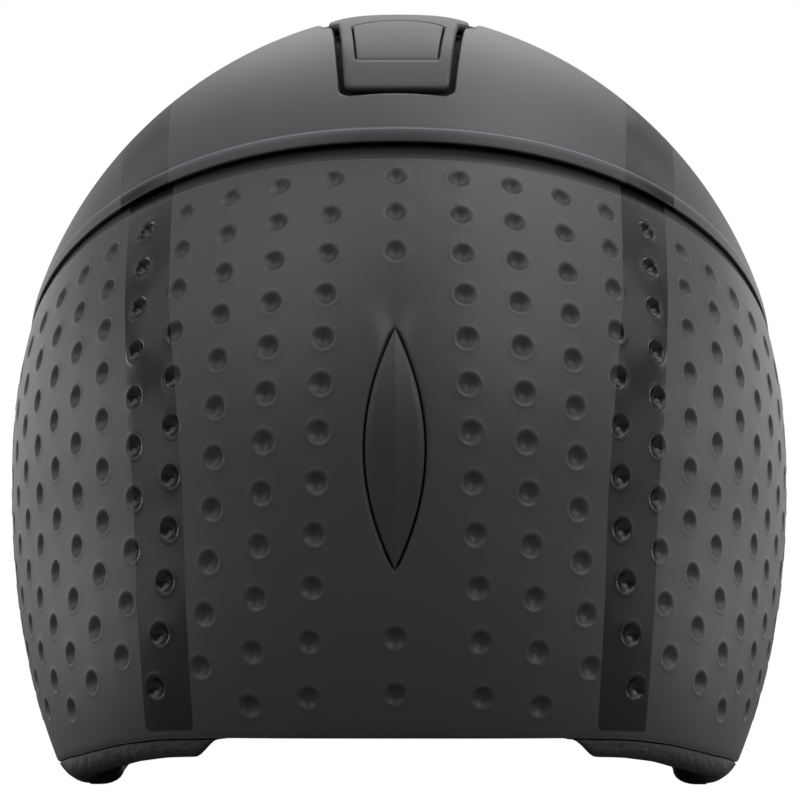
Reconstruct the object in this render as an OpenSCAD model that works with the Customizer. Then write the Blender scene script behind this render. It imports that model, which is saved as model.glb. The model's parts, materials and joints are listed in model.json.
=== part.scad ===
// Short-tail aero helmet: dimpled tail shell under a lipped front shell, hinged top
// port, dial-fit cradle with racks and pinion, tucked webbing, magnet-held shield.
// Millimetres, +Z up, +Y is the way the wearer faces, Z = 0 is the resting surface.

/* [Shell] */
// Half width of the front shell at its widest level
half_width = 111.6; // [106:0.1:118]
// Reach of the front shell behind the widest section
rear_reach = 162; // [152:0.5:172]
// Reach of the front shell ahead of the widest section
front_reach = 124; // [118:0.5:132]
// Height of the widest level above the resting surface
widest_z = 83; // [79:0.5:88]
// Rise of the crown above the widest level
crown_rise = 136.4; // [131:0.1:142]
// Fullness of the crown's profile towards its top
crown_full = 2.32; // [2.2:0.01:2.5]
// Fullness of the crown's profile towards the widest level
crown_round = 1.756; // [1.7:0.01:1.9]
// Depth over which the skirt draws in below the widest level
skirt_drop = 143.8; // [140:0.1:160]
// How square the plan gets towards the rim
skirt_square = 1.6; // [1.2:0.1:2]
// Wall of both outer shells
shell_wall = 2.4; // [2:0.1:3]
// Step from the front shell down to the tail shell at the ends and crown
tail_step = 4; // [3:0.1:5]
// Step from the front shell down to the tail shell at the sides
tail_step_side = 0.6; // [0.4:0.1:1]

/* [Lip] */
// Height of the lip's lower edge at the widest section
lip_z = 125.6; // [121:0.1:129]
// Slope of the lip's lower edge
lip_slope = 24.4; // [22:0.1:26]
// Height of the lip's chamfer at the widest section
chamfer_rise = 4.6; // [2:0.1:6]
// Drop from the lip's lower edge to the tail shell's top edge
lip_gap = 2.2; // [1.5:0.1:3.5]
// How much less the tail shell's top edge slopes than the lip
gap_slope = 1.2; // [0.8:0.1:1.6]
// How far the chamfer draws in at its lower edge
chamfer_in = 2.2; // [1.6:0.1:2.6]

/* [Dimples] */
// Width of a dimple at the surface
dimple_d = 6.4; // [5.5:0.1:8]
// Depth of a dimple
dimple_depth = 1.4; // [1:0.1:1.8]
// Rows of dimples
dimple_rows = 12; // [4:1:12]
// Height of the top row on the tail's centre line
row_top = 167.9; // [160:0.1:169]
// Drop from the first row to the second
row_drop = 9.9; // [9.5:0.1:11]
// Growth of the drop from each row to the next
row_growth = 0.52; // [0.4:0.01:0.6]
// Slope of the top row, falling forwards
row_slope = 29.3; // [28:0.1:31]
// Spacing of dimples along a row
dimple_pitch = 14.7; // [13:0.1:16]
// Distance from the centre line to the first column
column_gap = 16.7; // [15:0.1:18]

/* [Tail insert] */
// Half width of the lens-shaped insert
insert_half = 7.8; // [6:0.1:9]
// Height of the insert's lower tip
insert_low = 63.7; // [60:0.1:66]
// Height of the insert's upper tip
insert_high = 126.9; // [122:0.1:130]
// Height of the insert's ridge over its edges
insert_ridge = 1.4; // [0.8:0.1:2]

/* [Rim] */
// Height of the shell's rim at the tail
rim_tail_z = 19; // [17:0.5:22]
// Height of the shell's rim over the ears
rim_ear_z = 7; // [6:0.5:9]
// Front end of the ear covers
ear_front = 58; // [54:1:62]
// Height of the brow edge
brow_z = 112; // [108:1:116]
// How far the foam shows below the shell's rim
foam_show = 4.6; // [3:0.1:5.5]
// Half width of the notch in the foam at the nape
nape_half = 52.5; // [48:0.5:55]
// Thickness of the rolled ear edges
ear_roll_w = 17; // [15:0.5:18]

/* [Foam] */
// Foam thickness at the sides
foam_side = 27.6; // [25:0.1:30]
// Foam thickness behind the head
foam_rear = 52; // [48:0.5:56]
// Foam thickness at the brow
foam_front = 21; // [19:0.5:24]
// Foam thickness at the crown
foam_crown = 29.4; // [27:0.1:32]
// Thickness of the comfort pads
pad_t = 7; // [5:0.5:8]

/* [Top port] */
// Radius of the port's arc from front to back
port_r = 181; // [179:0.1:183]
// Radius of the port's crown from side to side
port_crown = 59; // [50:1:80]
// Thickness of the port frame's plate
port_plate = 2.5; // [2:0.1:3]
// Gap round the port frame
port_gap = 1.4; // [1:0.1:1.8]
// Rear end of the port frame
port_rear = -95; // [-98:0.5:-92]
// Half width of the door at its front
door_half = 12.7; // [11:0.1:13.5]
// Radius of the door's hinge barrel
barrel_r = 2.4; // [2.2:0.1:2.6]
// Radius of the door's hinge pin
port_pin_r = 0.6; // [0.5:0.05:0.9]

/* [Fit dial] */
// Height of the dial's axis
dial_z = 46; // [45:0.5:49]
// Radius of the dial knob
knob_r = 14; // [12:0.5:15]
// Height of the dial knob
knob_h = 8.4; // [7:0.1:9]
// Module of the pinion and racks
gear_module = 0.8; // [0.7:0.05:0.9]
// Teeth on the pinion
pinion_teeth = 12; // [12:2:14]
// Travel of each band
band_travel = 10; // [6:0.5:10]
// Travel of the cradle's height setting
height_travel = 8; // [6:1:8]

/* [Straps] */
// Width of the webbing
strap_w = 15; // [13:0.5:15]
// Thickness of the webbing
strap_t = 1.2; // [1:0.1:1.6]
// Height of the chin strap's middle line
chin_z = 24; // [23:0.5:25]
// Travel of the buckle's slider
buckle_travel = 12; // [8:1:12]

/* [Shield] */
// Thickness of the shield lens
lens_t = 2; // [1.6:0.1:2.4]
// Gap between shell and shield
shield_gap = 0.4; // [0.3:0.1:0.8]
// Thickness of the shield frame
shield_frame_t = 3; // [2.6:0.1:3.4]
// Radius of the shield's magnets
magnet_r = 4; // [3:0.1:4.5]

/* [Hidden] */

$fn = 48;
crown_n = 2.1;
ring_n = 48;
cap_lat = 86;
seat_gap = 0.3;
liner_gap = 0.5;
run_gap = 0.05;
far = 400;

lens_out = shield_gap + 1 + lens_t;
skin_front = [0, 0, 0];
skin_tail = [tail_step_side, tail_step, tail_step];
wall_in = [shell_wall, shell_wall, shell_wall];
glue = [liner_gap, liner_gap, liner_gap];

module placed() translate([0, centre_y, 0]) children();

// Surface of the helmet at plan angle th, 0 at the tail, 90 at the right side
function signed_pow(v, e) = sign(v) * pow(abs(v), e);
function plan_exp(z) = crown_n + (z < widest_z ? skirt_square * pow((widest_z - z) / widest_z, 2) : 0);
function shrink(h) = pow(max(0, 1 - pow(h, crown_n)), 1 / crown_n);
function dome_shrink(h) = pow(max(0, 1 - pow(h, crown_full)), 1 / crown_round);
function level_shrink(z, rise) =
  z > widest_z ? dome_shrink((z - widest_z) / rise) : shrink((widest_z - z) / skirt_drop);
function skin_pt(th, z, inset) =
  let (m = 2 / plan_exp(z), r = level_shrink(z, crown_rise - inset.z),
    reach = (cos(th) > 0 ? rear_reach : front_reach) - inset.y)
  [(half_width - inset.x) * r * signed_pow(sin(th), m), -reach * r * signed_pow(cos(th), m), z];
function skin_normal(th, z, inset) =
  let (d = 0.2, a = skin_pt(th + d, z, inset) - skin_pt(th - d, z, inset),
    b = skin_pt(th, z + d, inset) - skin_pt(th, z - d, inset), n = cross(a, b)) n / norm(n);

// Level where plan angle th meets a plane [z0, slope], falling forwards, or the rim line if
// that is higher and a lift over it is given as the plane's third number
function edge_z(plane, y) = max(plane[0] - plane[1] * y, len(plane) > 2 ? lookup(y, rim_line) + plane[2] : 0);
function edge_level(th, inset, plane, lo = 0, hi = 214, n = 18) =
  let (mid = (lo + hi) / 2)
  n == 0 ? mid :
  mid > edge_z(plane, skin_pt(th, mid, inset).y) ? edge_level(th, inset, plane, lo, mid, n - 1)
    : edge_level(th, inset, plane, mid, hi, n - 1);

// Latitude of a level, and the level of a latitude
function lat(z, rise) = asin(pow(min(1, max(0, (z - widest_z) / rise)), crown_full / 2));
function lat_z(a, rise) = widest_z + rise * pow(sin(a), 2 / crown_full);
function low_lat(z) = -asin(pow(max(0, (widest_z - z) / skirt_drop), crown_n / 2));
function any_lat(z, rise) = z > widest_z ? lat(z, rise) : low_lat(z);
function any_z(a, rise) = a > 0 ? lat_z(a, rise) : widest_z - skirt_drop * pow(sin(-a), 2 / crown_n);

// Closed solids from rings of points and from two facing grids
function ring_th(i) = 360 * i / ring_n;
function band_faces(lo, hi) = [for (i = [0:ring_n - 1]) let (j = (i + 1) % ring_n)
  each [[lo + i, hi + i, hi + j], [lo + i, hi + j, lo + j]]];
function cap_up(base) = [for (i = [ring_n - 1:-1:0]) base + i];
function cap_down(base) = [for (i = [0:ring_n - 1]) base + i];
module ring_stack(rings) {
  top = (len(rings) - 1) * ring_n;
  polyhedron([for (r = rings) each r], concat([cap_down(0)], [cap_up(top)],
    [for (k = [0:len(rings) - 2]) each band_faces(k * ring_n, (k + 1) * ring_n)]));
}
module ring_loop(rings) {
  n = len(rings);
  polyhedron([for (r = rings) each r],
    [for (k = [0:n - 1]) each band_faces(k * ring_n, ((k + 1) % n) * ring_n)]);
}
module ring_dome(outer, inner) {
  k_out = len(outer);
  n = k_out + len(inner);
  polyhedron(concat([for (r = outer) each r], [for (r = inner) each r]),
    concat([cap_up((k_out - 1) * ring_n)], [cap_down(k_out * ring_n)],
      [for (k = [0:n - 1]) if (k != k_out - 1) each band_faces(k * ring_n, ((k + 1) % n) * ring_n)]));
}
module grid_solid(outer, inner) {
  rows = len(outer);
  cols = len(outer[0]);
  base = rows * cols;
  function a(k, i) = k * cols + i;
  function b(k, i) = base + k * cols + i;
  quads = concat(
    [for (k = [0:rows - 2], i = [0:cols - 2]) [a(k, i), a(k + 1, i), a(k + 1, i + 1), a(k, i + 1)]],
    [for (k = [0:rows - 2], i = [0:cols - 2]) [b(k, i), b(k, i + 1), b(k + 1, i + 1), b(k + 1, i)]],
    [for (i = [0:cols - 2]) [a(0, i), a(0, i + 1), b(0, i + 1), b(0, i)]],
    [for (i = [0:cols - 2]) [a(rows - 1, i + 1), a(rows - 1, i), b(rows - 1, i), b(rows - 1, i + 1)]],
    [for (k = [0:rows - 2]) [a(k + 1, 0), a(k, 0), b(k, 0), b(k + 1, 0)]],
    [for (k = [0:rows - 2]) [a(k, cols - 1), a(k + 1, cols - 1), b(k + 1, cols - 1), b(k, cols - 1)]]);
  polyhedron(concat([for (r = outer) each r], [for (r = inner) each r]),
    [for (q = quads) each [[q[0], q[1], q[2]], [q[0], q[2], q[3]]]]);
}

// Puts children on the helmet's surface with +Z along the outward normal
module on_skin(th, z, inset) {
  p = skin_pt(th, z, inset);
  n = skin_normal(th, z, inset);
  translate(p) rotate([0, acos(n.z), atan2(n.y, n.x)]) children();
}

lip_lift = 2;
// Planes of the lip, each as [height at y = 0, slope, lift over the rim line]
lip_low = [lip_z, tan(lip_slope), 0];
lip_high = [lip_z + chamfer_rise, tan(lip_slope), lip_lift];
tail_top = [lip_z - lip_gap, tan(lip_slope - gap_slope)];
foam_split = [lip_high[0] + liner_gap, lip_high[1], lip_lift + liner_gap];

function plane_ring(plane, inset) =
  [for (i = [0:ring_n - 1]) skin_pt(ring_th(i), edge_level(ring_th(i), inset, plane), inset)];
// Rings that climb from a plane to the cap, as fractions of the latitude left
function dome_rings(plane, inset, n) =
  let (rise = crown_rise - inset.z,
    starts = [for (i = [0:ring_n - 1]) any_lat(edge_level(ring_th(i), inset, plane), rise)])
  [for (k = [0:n]) [for (i = [0:ring_n - 1])
    skin_pt(ring_th(i), any_z(starts[i] + (cap_lat - starts[i]) * k / n, rise), inset)]];
// Rings that climb from below the rim to a plane
skirt_z = -12;
function skirt_rings(plane, inset, n) =
  let (rise = crown_rise - inset.z, start = any_lat(skirt_z, rise),
    ends = [for (i = [0:ring_n - 1]) any_lat(edge_level(ring_th(i), inset, plane), rise)])
  [for (k = [0:n]) [for (i = [0:ring_n - 1])
    skin_pt(ring_th(i), any_z(start + (ends[i] - start) * k / n, rise), inset)]];
function reversed(v) = [for (i = [len(v) - 1:-1:0]) v[i]];

// Side outline of the rim: heights along Y from the tail to the brow
rim_line = [[-200, rim_tail_z + 0.6], [-143, rim_tail_z], [-122, rim_tail_z - 1.3],
  [-107, rim_tail_z - 3.3], [-90, rim_tail_z - 6.5], [-40, rim_ear_z + 1], [ear_front - 13, rim_ear_z],
  [ear_front, rim_ear_z + 8], [ear_front + 8, 30], [ear_front + 14, 60], [ear_front + 20, 84],
  [ear_front + 34, brow_z - 8], [ear_front + 64, brow_z], [200, brow_z]];
module above_rim(drop = 0) {
  rotate([90, 0, 90]) translate([0, -drop]) linear_extrude(far, center = true)
    offset(r = 5) offset(delta = -5) polygon(concat(rim_line, [[200, 300], [-200, 300]]));
}

// Arc centre of the port, its skin, an arc from front to back that the crown rounds off at
// the sides near the crest, and its vertical prism outlines
port_y = -1.6;
crest_drop = 0.1;
port_z = widest_z + crown_rise - crest_drop - port_r;
port_seat_r = port_r - 7;
ear_half = 20.2;
module port_axis() translate([0, port_y, port_z]) rotate([0, 90, 0]) children();
module port_skin(drop) intersection() {
  port_drum(port_r - drop);
  translate([0, 0, port_z + port_r - port_crown]) rotate([90, 0, 0])
    cylinder(r = port_crown - drop, h = far, center = true, $fn = 96);
}
module port_drum(r) port_axis() cylinder(r = r, h = far, center = true, $fn = 96);
module port_outline() offset(r = 3, $fn = 32) offset(delta = -3)
  polygon([[-14.2, port_rear], [14.2, port_rear], [17.2, -34], [ear_half, -30], [ear_half, 4],
    [-ear_half, 4], [-ear_half, -30], [-17.2, -34]]);
door_rear = port_rear + 15;
door_side_y = port_rear + 50;
door_tip_y = port_rear + 57;
door_rear_half = door_half - 1.6;
hinge_r = port_r - barrel_r;
hinge_turn = asin((port_y - door_rear - barrel_r) / hinge_r);
hinge_y = port_y - hinge_r * sin(hinge_turn);
hinge_z = port_z + hinge_r * cos(hinge_turn);
door_back = hinge_y - barrel_r * sin(hinge_turn);
tip_r = (pow(door_half, 2) + pow(door_tip_y - door_side_y, 2)) / 2 / (door_tip_y - door_side_y);
module door_plan(grow = 0) offset(delta = grow) {
  polygon([[-door_rear_half, door_back], [door_rear_half, door_back],
    [door_half, door_side_y], [-door_half, door_side_y]]);
  intersection() {
    translate([-door_half, door_side_y - 1]) square([2 * door_half, door_tip_y - door_side_y + 1]);
    translate([0, door_tip_y - tip_r]) circle(r = tip_r, $fn = 64);
  }
}
module column() translate([0, 0, port_z + port_r - 60]) linear_extrude(90) children();
module hinge_rod(r, half) translate([0, hinge_y, hinge_z]) rotate([0, 90, 0])
  cylinder(r = r, h = 2 * half, center = true, $fn = 32);

module front_shell() {
  lip_in = [chamfer_in / 5, chamfer_in, chamfer_in];
  lip_back = lip_in + wall_in;
  color("#4a4c50") placed() difference() {
    ring_dome(concat([plane_ring(lip_low, lip_in)], dome_rings(lip_high, skin_front, 11)),
      concat(reversed(dome_rings(lip_high, wall_in, 11)), [plane_ring(lip_low, lip_back)]));
    column() offset(r = port_gap, $fn = 32) port_outline();
    for (a = magnet_turns) on_skin(a, magnet_z, skin_front) cylinder(r = magnet_r + run_gap, h = 12, center = true);
  }
}

// Dimples of one row: plan angles walked along the row at an even spacing
function row_height(k) = row_top - row_drop * k - row_growth * k * (k - 1) / 2;
function row_tilt(k) = tan(row_slope + 0.055 * k * k);
function row_plane(k) = [row_height(k) + row_tilt(k) * skin_pt(0, row_height(k), skin_tail).y, row_tilt(k)];
function row_level(th, k) = edge_level(th, skin_tail, row_plane(k));
function row_pt(th, k) = skin_pt(th, row_level(th, k), skin_tail);
function walk_rate(th, k) = norm(row_pt(th + 0.3, k) - row_pt(th - 0.3, k)) / 0.6;
function next_th(th, k, step) = let (half = th + step / walk_rate(th, k) / 2) th + step / walk_rate(half, k);
function first_th(k) = let (z = row_height(k), x = (column_gap + 0.55 * k) / ((half_width - skin_tail.x) * level_shrink(z, crown_rise - skin_tail.z)))
  asin(pow(x, plan_exp(z) / 2));
dimple_front = 6;
dimple_margin = 8;
function keeps_dimple(p) = p.y < dimple_front && p.z > lookup(p.y, rim_line) + dimple_margin;
function row_walk(th, k, n = 0) = let (p = row_pt(th, k))
  n > 14 || !keeps_dimple(p) ? [] : concat([th], row_walk(next_th(th, k, dimple_pitch + 0.12 * k), k, n + 1));
dimple_ball = (dimple_d * dimple_d / 4 + dimple_depth * dimple_depth) / (2 * dimple_depth);
module dimple(th, k) {
  z = row_level(th, k);
  translate(skin_pt(th, z, skin_tail) + skin_normal(th, z, skin_tail) * (dimple_ball - dimple_depth))
    sphere(r = dimple_ball, $fn = 24);
}
module dimples() {
  for (k = [0:dimple_rows - 1]) {
    if (row_height(k) > insert_high + 18 || row_height(k) < insert_low - 12) dimple(0, k);
    for (th = row_walk(first_th(k), k)) {
      dimple(th, k);
      dimple(-th, k);
    }
  }
}

// Lens outline of the tail insert in front view
insert_mid = (insert_low + insert_high) / 2;
insert_long = (insert_high - insert_low) / 2;
function lens_half(z) = insert_half * (1 - pow((z - insert_mid) / insert_long, 2));
module lens_hole(grow, floor_y) translate([0, floor_y, 0]) rotate([90, 0, 0]) linear_extrude(60)
  offset(delta = grow) polygon([for (s = [1, -1], k = [0:12])
    let (z = insert_mid - s * insert_long * cos(15 * k)) [s * lens_half(z), z]]);
insert_back = -rear_reach + tail_step + shell_wall + 8;
tail_end = max(rear_reach - tail_step, insert_ridge - skin_pt(0, insert_mid, skin_tail).y);
centre_y = (tail_end - front_reach - lens_out) / 2;

module rear_shell() {
  color("#45474b") placed() difference() {
    intersection() {
      ring_loop(concat(skirt_rings(tail_top, skin_tail, 12),
        reversed(skirt_rings(tail_top, skin_tail + wall_in, 12))));
      above_rim();
    }
    dimples();
    lens_hole(0.5, insert_back);
  }
}

module tail_insert() {
  steps = [for (k = [1:11]) insert_mid - insert_long * cos(15 * k)];
  rings = [for (z = steps) let (w = lens_half(z), y = skin_pt(0, z, skin_tail).y, r = insert_ridge * w / insert_half)
    [[-w, y, z], [0, y - r, z], [w, y, z], [w, insert_back, z], [-w, insert_back, z]]];
  n = len(rings);
  color("#3a3b3e") placed() polyhedron([for (r = rings) each r], concat([[0, 1, 2, 3, 4]],
    [[for (i = [4:-1:0]) (n - 1) * 5 + i]],
    [for (k = [0:n - 2], i = [0:4]) let (j = (i + 1) % 5, lo = k * 5, hi = lo + 5)
      each [[lo + i, hi + i, hi + j], [lo + i, hi + j, lo + j]]]));
}

// Head cavity in the foam, a dome over straight walls
cav = [half_width - foam_side, rear_reach - foam_rear, front_reach - foam_front];
cav_rise = crown_rise - foam_crown;
function cav_pt(th, z, off) =
  let (m = 2 / crown_n, r = z > widest_z ? shrink((z - widest_z) / (cav_rise - off)) : 1,
    reach = (cos(th) > 0 ? cav[1] : cav[2]) - off)
  [(cav[0] - off) * r * signed_pow(sin(th), m), -reach * r * signed_pow(cos(th), m), z];
function cav_ring(z) = [for (i = [0:ring_n - 1]) cav_pt(ring_th(i), z, 0)];
module head_cavity() ring_stack(concat([cav_ring(-20)],
  [for (k = [0:9]) cav_ring(lat_z(cap_lat * k / 9, cav_rise))]));
// Height of the cavity's crown over a plan point
function cav_top(x, y, off) = let (reach = (y < 0 ? cav[1] : cav[2]) - off,
  q = pow(abs(x) / (cav[0] - off), crown_n) + pow(abs(y) / reach, crown_n))
  widest_z + (cav_rise - off) * pow(1 - q, 1 / crown_n);

vent_half = 9;
vent_rear = port_rear + 21;
vent_front = port_rear + 51;
roll_top = 10.4;
band_top = 40;
band_in = [12, 12, 12];
under_rise = 3;
ear_rear = -76;
channel_half = knob_r + 2.5;
anchor_turns = [50, 126];
anchor_z = 70;
anchor_r = 9;
module foam_liner() {
  color("#232324") placed() difference() {
    intersection() {
      union() {
        ring_stack(concat(skirt_rings(foam_split, skin_tail + wall_in + glue, 12),
          dome_rings(foam_split, wall_in + glue, 11)));
        // band that comes out flush below the shell's rim
        difference() {
          ring_stack(skirt_rings([band_top, 0], skin_tail + glue, 4));
          above_rim(seat_gap);
        }
      }
      above_rim(foam_show);
    }
    head_cavity();
    // room for the rolled ear edges
    translate([-far / 2, ear_rear, -20]) cube([far, far, 20 + roll_top + seat_gap]);
    // underside that rises behind the band
    difference() {
      intersection() {
        ring_stack(skirt_rings([band_top, 0], skin_tail + band_in, 4));
        translate([-far / 2, ear_rear - far, -20]) cube([far, far, 20 + band_top - 1]);
      }
      above_rim(-under_rise);
    }
    // notch and finger channel at the nape
    rotate([90, 0, 0]) linear_extrude(far)
      polygon([[-nape_half, -20], [-nape_half, rim_tail_z - foam_show], [-nape_half + 6, rim_tail_z + 3],
        [nape_half - 6, rim_tail_z + 3], [nape_half, rim_tail_z - foam_show], [nape_half, -20]]);
    translate([-channel_half, fit_y - knob_h - 14, -20])
      cube([2 * channel_half, 40, 20 + dial_z + knob_r + height_travel + 2]);
    // port seat, vent duct and insert seat
    difference() {
      column() offset(r = port_gap, $fn = 32) port_outline();
      port_drum(port_seat_r);
    }
    translate([0, 0, widest_z + 40]) linear_extrude(140) offset(r = 5) offset(delta = -5)
      polygon([[-vent_half, vent_rear], [vent_half, vent_rear], [vent_half, vent_front], [-vent_half, vent_front]]);
    lens_hole(0.5, insert_back + seat_gap);
    for (a = anchor_turns, s = [-1, 1]) anchor_place(s * a) cylinder(r = anchor_r + seat_gap, h = 4.6, center = true);
  }
}

module port_frame() {
  skirt = 2;
  color("#37383b") placed() difference() {
    union() {
      difference() {
        intersection() {
          column() port_outline();
          port_skin(0);
        }
        intersection() {
          column() offset(delta = -skirt) port_outline();
          port_skin(port_plate);
        }
        port_drum(port_seat_r + seat_gap);
      }
      intersection() {
        port_skin(0.2);
        difference() {
          hinge_rod(2.1, door_rear_half + 3.2);
          hinge_rod(4, door_rear_half + seat_gap);
        }
      }
    }
    column() door_plan(0.35);
    hinge_rod(barrel_r + 0.35, door_rear_half + seat_gap);
    hinge_rod(port_pin_r + run_gap, door_rear_half + 2.3);
  }
}

module port_door() {
  color("#3c3d40") placed() difference() {
    intersection() {
      port_skin(0);
      union() {
        difference() {
          column() door_plan();
          port_skin(port_plate - 0.2);
        }
        hinge_rod(barrel_r, door_rear_half);
      }
    }
    hinge_rod(port_pin_r + run_gap, 30);
    door_magnet_place() cylinder(r = 2.5 + run_gap, h = 1.3);
  }
}

module door_hinge_pin() color("#b9bbbe") placed() hinge_rod(port_pin_r, door_rear_half + 2.1);

// The door's magnet sits under its front edge, with the catch magnet below it
magnet_turn = asin((port_y - door_side_y - 1.5) / port_r);
module port_spoke(r) translate([0, port_y, port_z]) rotate([magnet_turn, 0, 0]) translate([0, 0, r]) children();
door_magnet_r = port_r - port_plate - 0.8;
module door_magnet_place() port_spoke(door_magnet_r) children();
module door_magnet() color("#8f9194") placed() door_magnet_place() cylinder(r = 2.5, h = 1.2);

catch_r = port_seat_r + seat_gap + 1.5;
module catch_magnet() color("#8f9194") placed() port_spoke(catch_r) cylinder(r = 2.5, h = door_magnet_r - catch_r - 0.3);

module port_grille() {
  inner = 2 + seat_gap;
  grille_half = vent_half + 5.5;
  color("#2c2d2f") placed() difference() {
    intersection() {
      column() offset(delta = -inner) port_outline();
      cube([2 * grille_half, far, 2 * far], center = true);
      difference() {
        port_drum(port_seat_r + seat_gap + 1.5);
        port_drum(port_seat_r + seat_gap);
      }
    }
    for (k = [0:6]) column() translate([0, vent_rear + 2.5 + 4 * k])
      offset(r = 1.2, $fn = 16) square([2 * vent_half - 5, 0.2], center = true);
  }
}

// Rolled rubber edge under an ear cover, flat where it rests
module ear_roll() {
  zc = 5;
  turns = [for (k = [0:14]) 71 + 35 * k / 14];
  n = len(turns);
  sides = 12;
  rings = [for (k = [0:n - 1]) let (p = skin_pt(turns[k], rim_ear_z, skin_tail + wall_in),
    s = max(0.3, pow(1 - pow(abs(2 * k / (n - 1) - 1), 5), 0.5)), w = ear_roll_w / 2)
    [for (i = [0:sides - 1]) let (a = 360 * i / sides)
      [p.x - 0.5 - w + w * s * cos(a), p.y, max(0, zc + (sin(a) > 0 ? roll_top - zc : zc * 1.25) * s * sin(a))]]];
  polyhedron([for (r = rings) each r], concat([[for (i = [0:sides - 1]) i]],
    [[for (i = [sides - 1:-1:0]) (n - 1) * sides + i]],
    [for (k = [0:n - 2], i = [0:sides - 1]) let (j = (i + 1) % sides, lo = k * sides, hi = lo + sides)
      each [[lo + i, hi + i, hi + j], [lo + i, hi + j, lo + j]]]));
}
module ear_edge_right() color("#2a2a2b") placed() ear_roll();
module ear_edge_left() color("#2a2a2b") placed() mirror([1, 0, 0]) ear_roll();

// Comfort pad on the cavity wall between two plan angles and two levels
pad_seat = 0.7;
pad_edge = 1.4;
function crowned(u, v) = pow(max(0, (1 - pow(abs(2 * u - 1), 4)) * (1 - pow(abs(2 * v - 1), 4))), 0.5);
module wall_pad(th0, th1, z0, z1, cols, rows) {
  function turn(u, v) = (th0 + th1) / 2 + (th1 - th0) * (u - 0.5) * (1 - 0.16 * pow(abs(2 * v - 1), 3));
  function level(u, v) = (z0 + z1) / 2 + (z1 - z0) * (v - 0.5) * (1 - 0.12 * pow(abs(2 * u - 1), 3));
  grid_solid(
    [for (k = [0:rows]) [for (i = [0:cols]) let (u = i / cols, v = k / rows) cav_pt(turn(u, v), level(u, v), pad_seat)]],
    [for (k = [0:rows]) [for (i = [0:cols]) let (u = i / cols, v = k / rows)
      cav_pt(turn(u, v), level(u, v), pad_seat + pad_edge + (pad_t - pad_edge) * crowned(u, v))]]);
}
module brow_pad() color("#303133") placed() wall_pad(128, 232, brow_z + 3, brow_z + 23, 16, 4);
module rear_pad() color("#303133") placed() wall_pad(-24, 24, 124, 146, 8, 4);
module side_pad_right() color("#303133") placed() wall_pad(62, 106, 96, 130, 8, 5);
module side_pad_left() color("#303133") placed() wall_pad(254, 298, 96, 130, 8, 5);
module crown_pad() {
  half = 24;
  rear = -30;
  front = 50;
  cols = 6;
  rows = 9;
  function px(u, v) = half * (2 * u - 1) * (1 - 0.2 * pow(abs(2 * v - 1), 3));
  function py(u, v) = (rear + front) / 2 + (front - rear) * (v - 0.5);
  color("#303133") placed() grid_solid(
    [for (k = [0:rows]) [for (i = [0:cols]) let (u = 1 - i / cols, v = k / rows)
      [px(u, v), py(u, v), cav_top(px(u, v), py(u, v), pad_seat)]]],
    [for (k = [0:rows]) [for (i = [0:cols]) let (u = 1 - i / cols, v = k / rows)
      [px(u, v), py(u, v), cav_top(px(u, v), py(u, v), pad_seat + pad_edge + (pad_t - pad_edge) * crowned(u, v))]]]);
}

// Fit system: depths are measured to the rear from the cradle's back face
fit_y = -cav[1] + 14.5;
pitch_r = gear_module * pinion_teeth / 2;
tooth_tip = 0.9 * gear_module;
tooth_root = 1.15 * gear_module;
rack_back = pitch_r + tooth_root + 2.7;
rack_d0 = 2;
rack_d1 = 4.9;
cover_d0 = 5.3;
cover_d1 = 7.3;
knob_d0 = 8.1;
housing_half = 17;
housing_tall = 13;
screw_x = 14.6;
screw_z = 11;
module behind(depth) translate([0, fit_y - depth, dial_z]) rotate([90, 0, 0]) children();

cradle_r = 70.5;
cradle_t = 2.5;
wing_low = 60;
wing_high = 84;
module fit_cradle() {
  color("#28292b") placed() difference() {
    union() {
      intersection() {
        translate([0, fit_y + cradle_r, 0]) difference() {
          cylinder(r = cradle_r, h = far, $fn = 96);
          translate([0, 0, -1]) cylinder(r = cradle_r - cradle_t, h = far + 2, $fn = 96);
        }
        translate([0, fit_y + 60, wing_low]) rotate([90, 0, 0]) linear_extrude(80)
          offset(r = 6, $fn = 32) offset(delta = -6)
          polygon([[-36, 0], [36, 0], [36, wing_high - wing_low], [-36, wing_high - wing_low]]);
      }
      translate([-housing_half, fit_y, dial_z - housing_tall]) cube([2 * housing_half, cradle_t, wing_low + 8 - dial_z + housing_tall]);
    }
    for (x = [-25, 25]) translate([x, fit_y, (wing_low + wing_high) / 2]) rotate([90, 0, 0])
      linear_extrude(80, center = true) offset(r = 2.5, $fn = 16) square([4, 9], center = true);
  }
}
module cradle_pad() {
  color("#303133") placed() intersection() {
    translate([0, fit_y + cradle_r, 0]) difference() {
      cylinder(r = cradle_r - cradle_t - seat_gap, h = far, $fn = 96);
      translate([0, 0, -1]) cylinder(r = cradle_r - 7.5, h = far + 2, $fn = 96);
    }
    translate([0, fit_y + 60, wing_low + 12]) rotate([90, 0, 0]) linear_extrude(80)
      offset(r = 5, $fn = 32) square([54, 9], center = true);
  }
}

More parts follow.
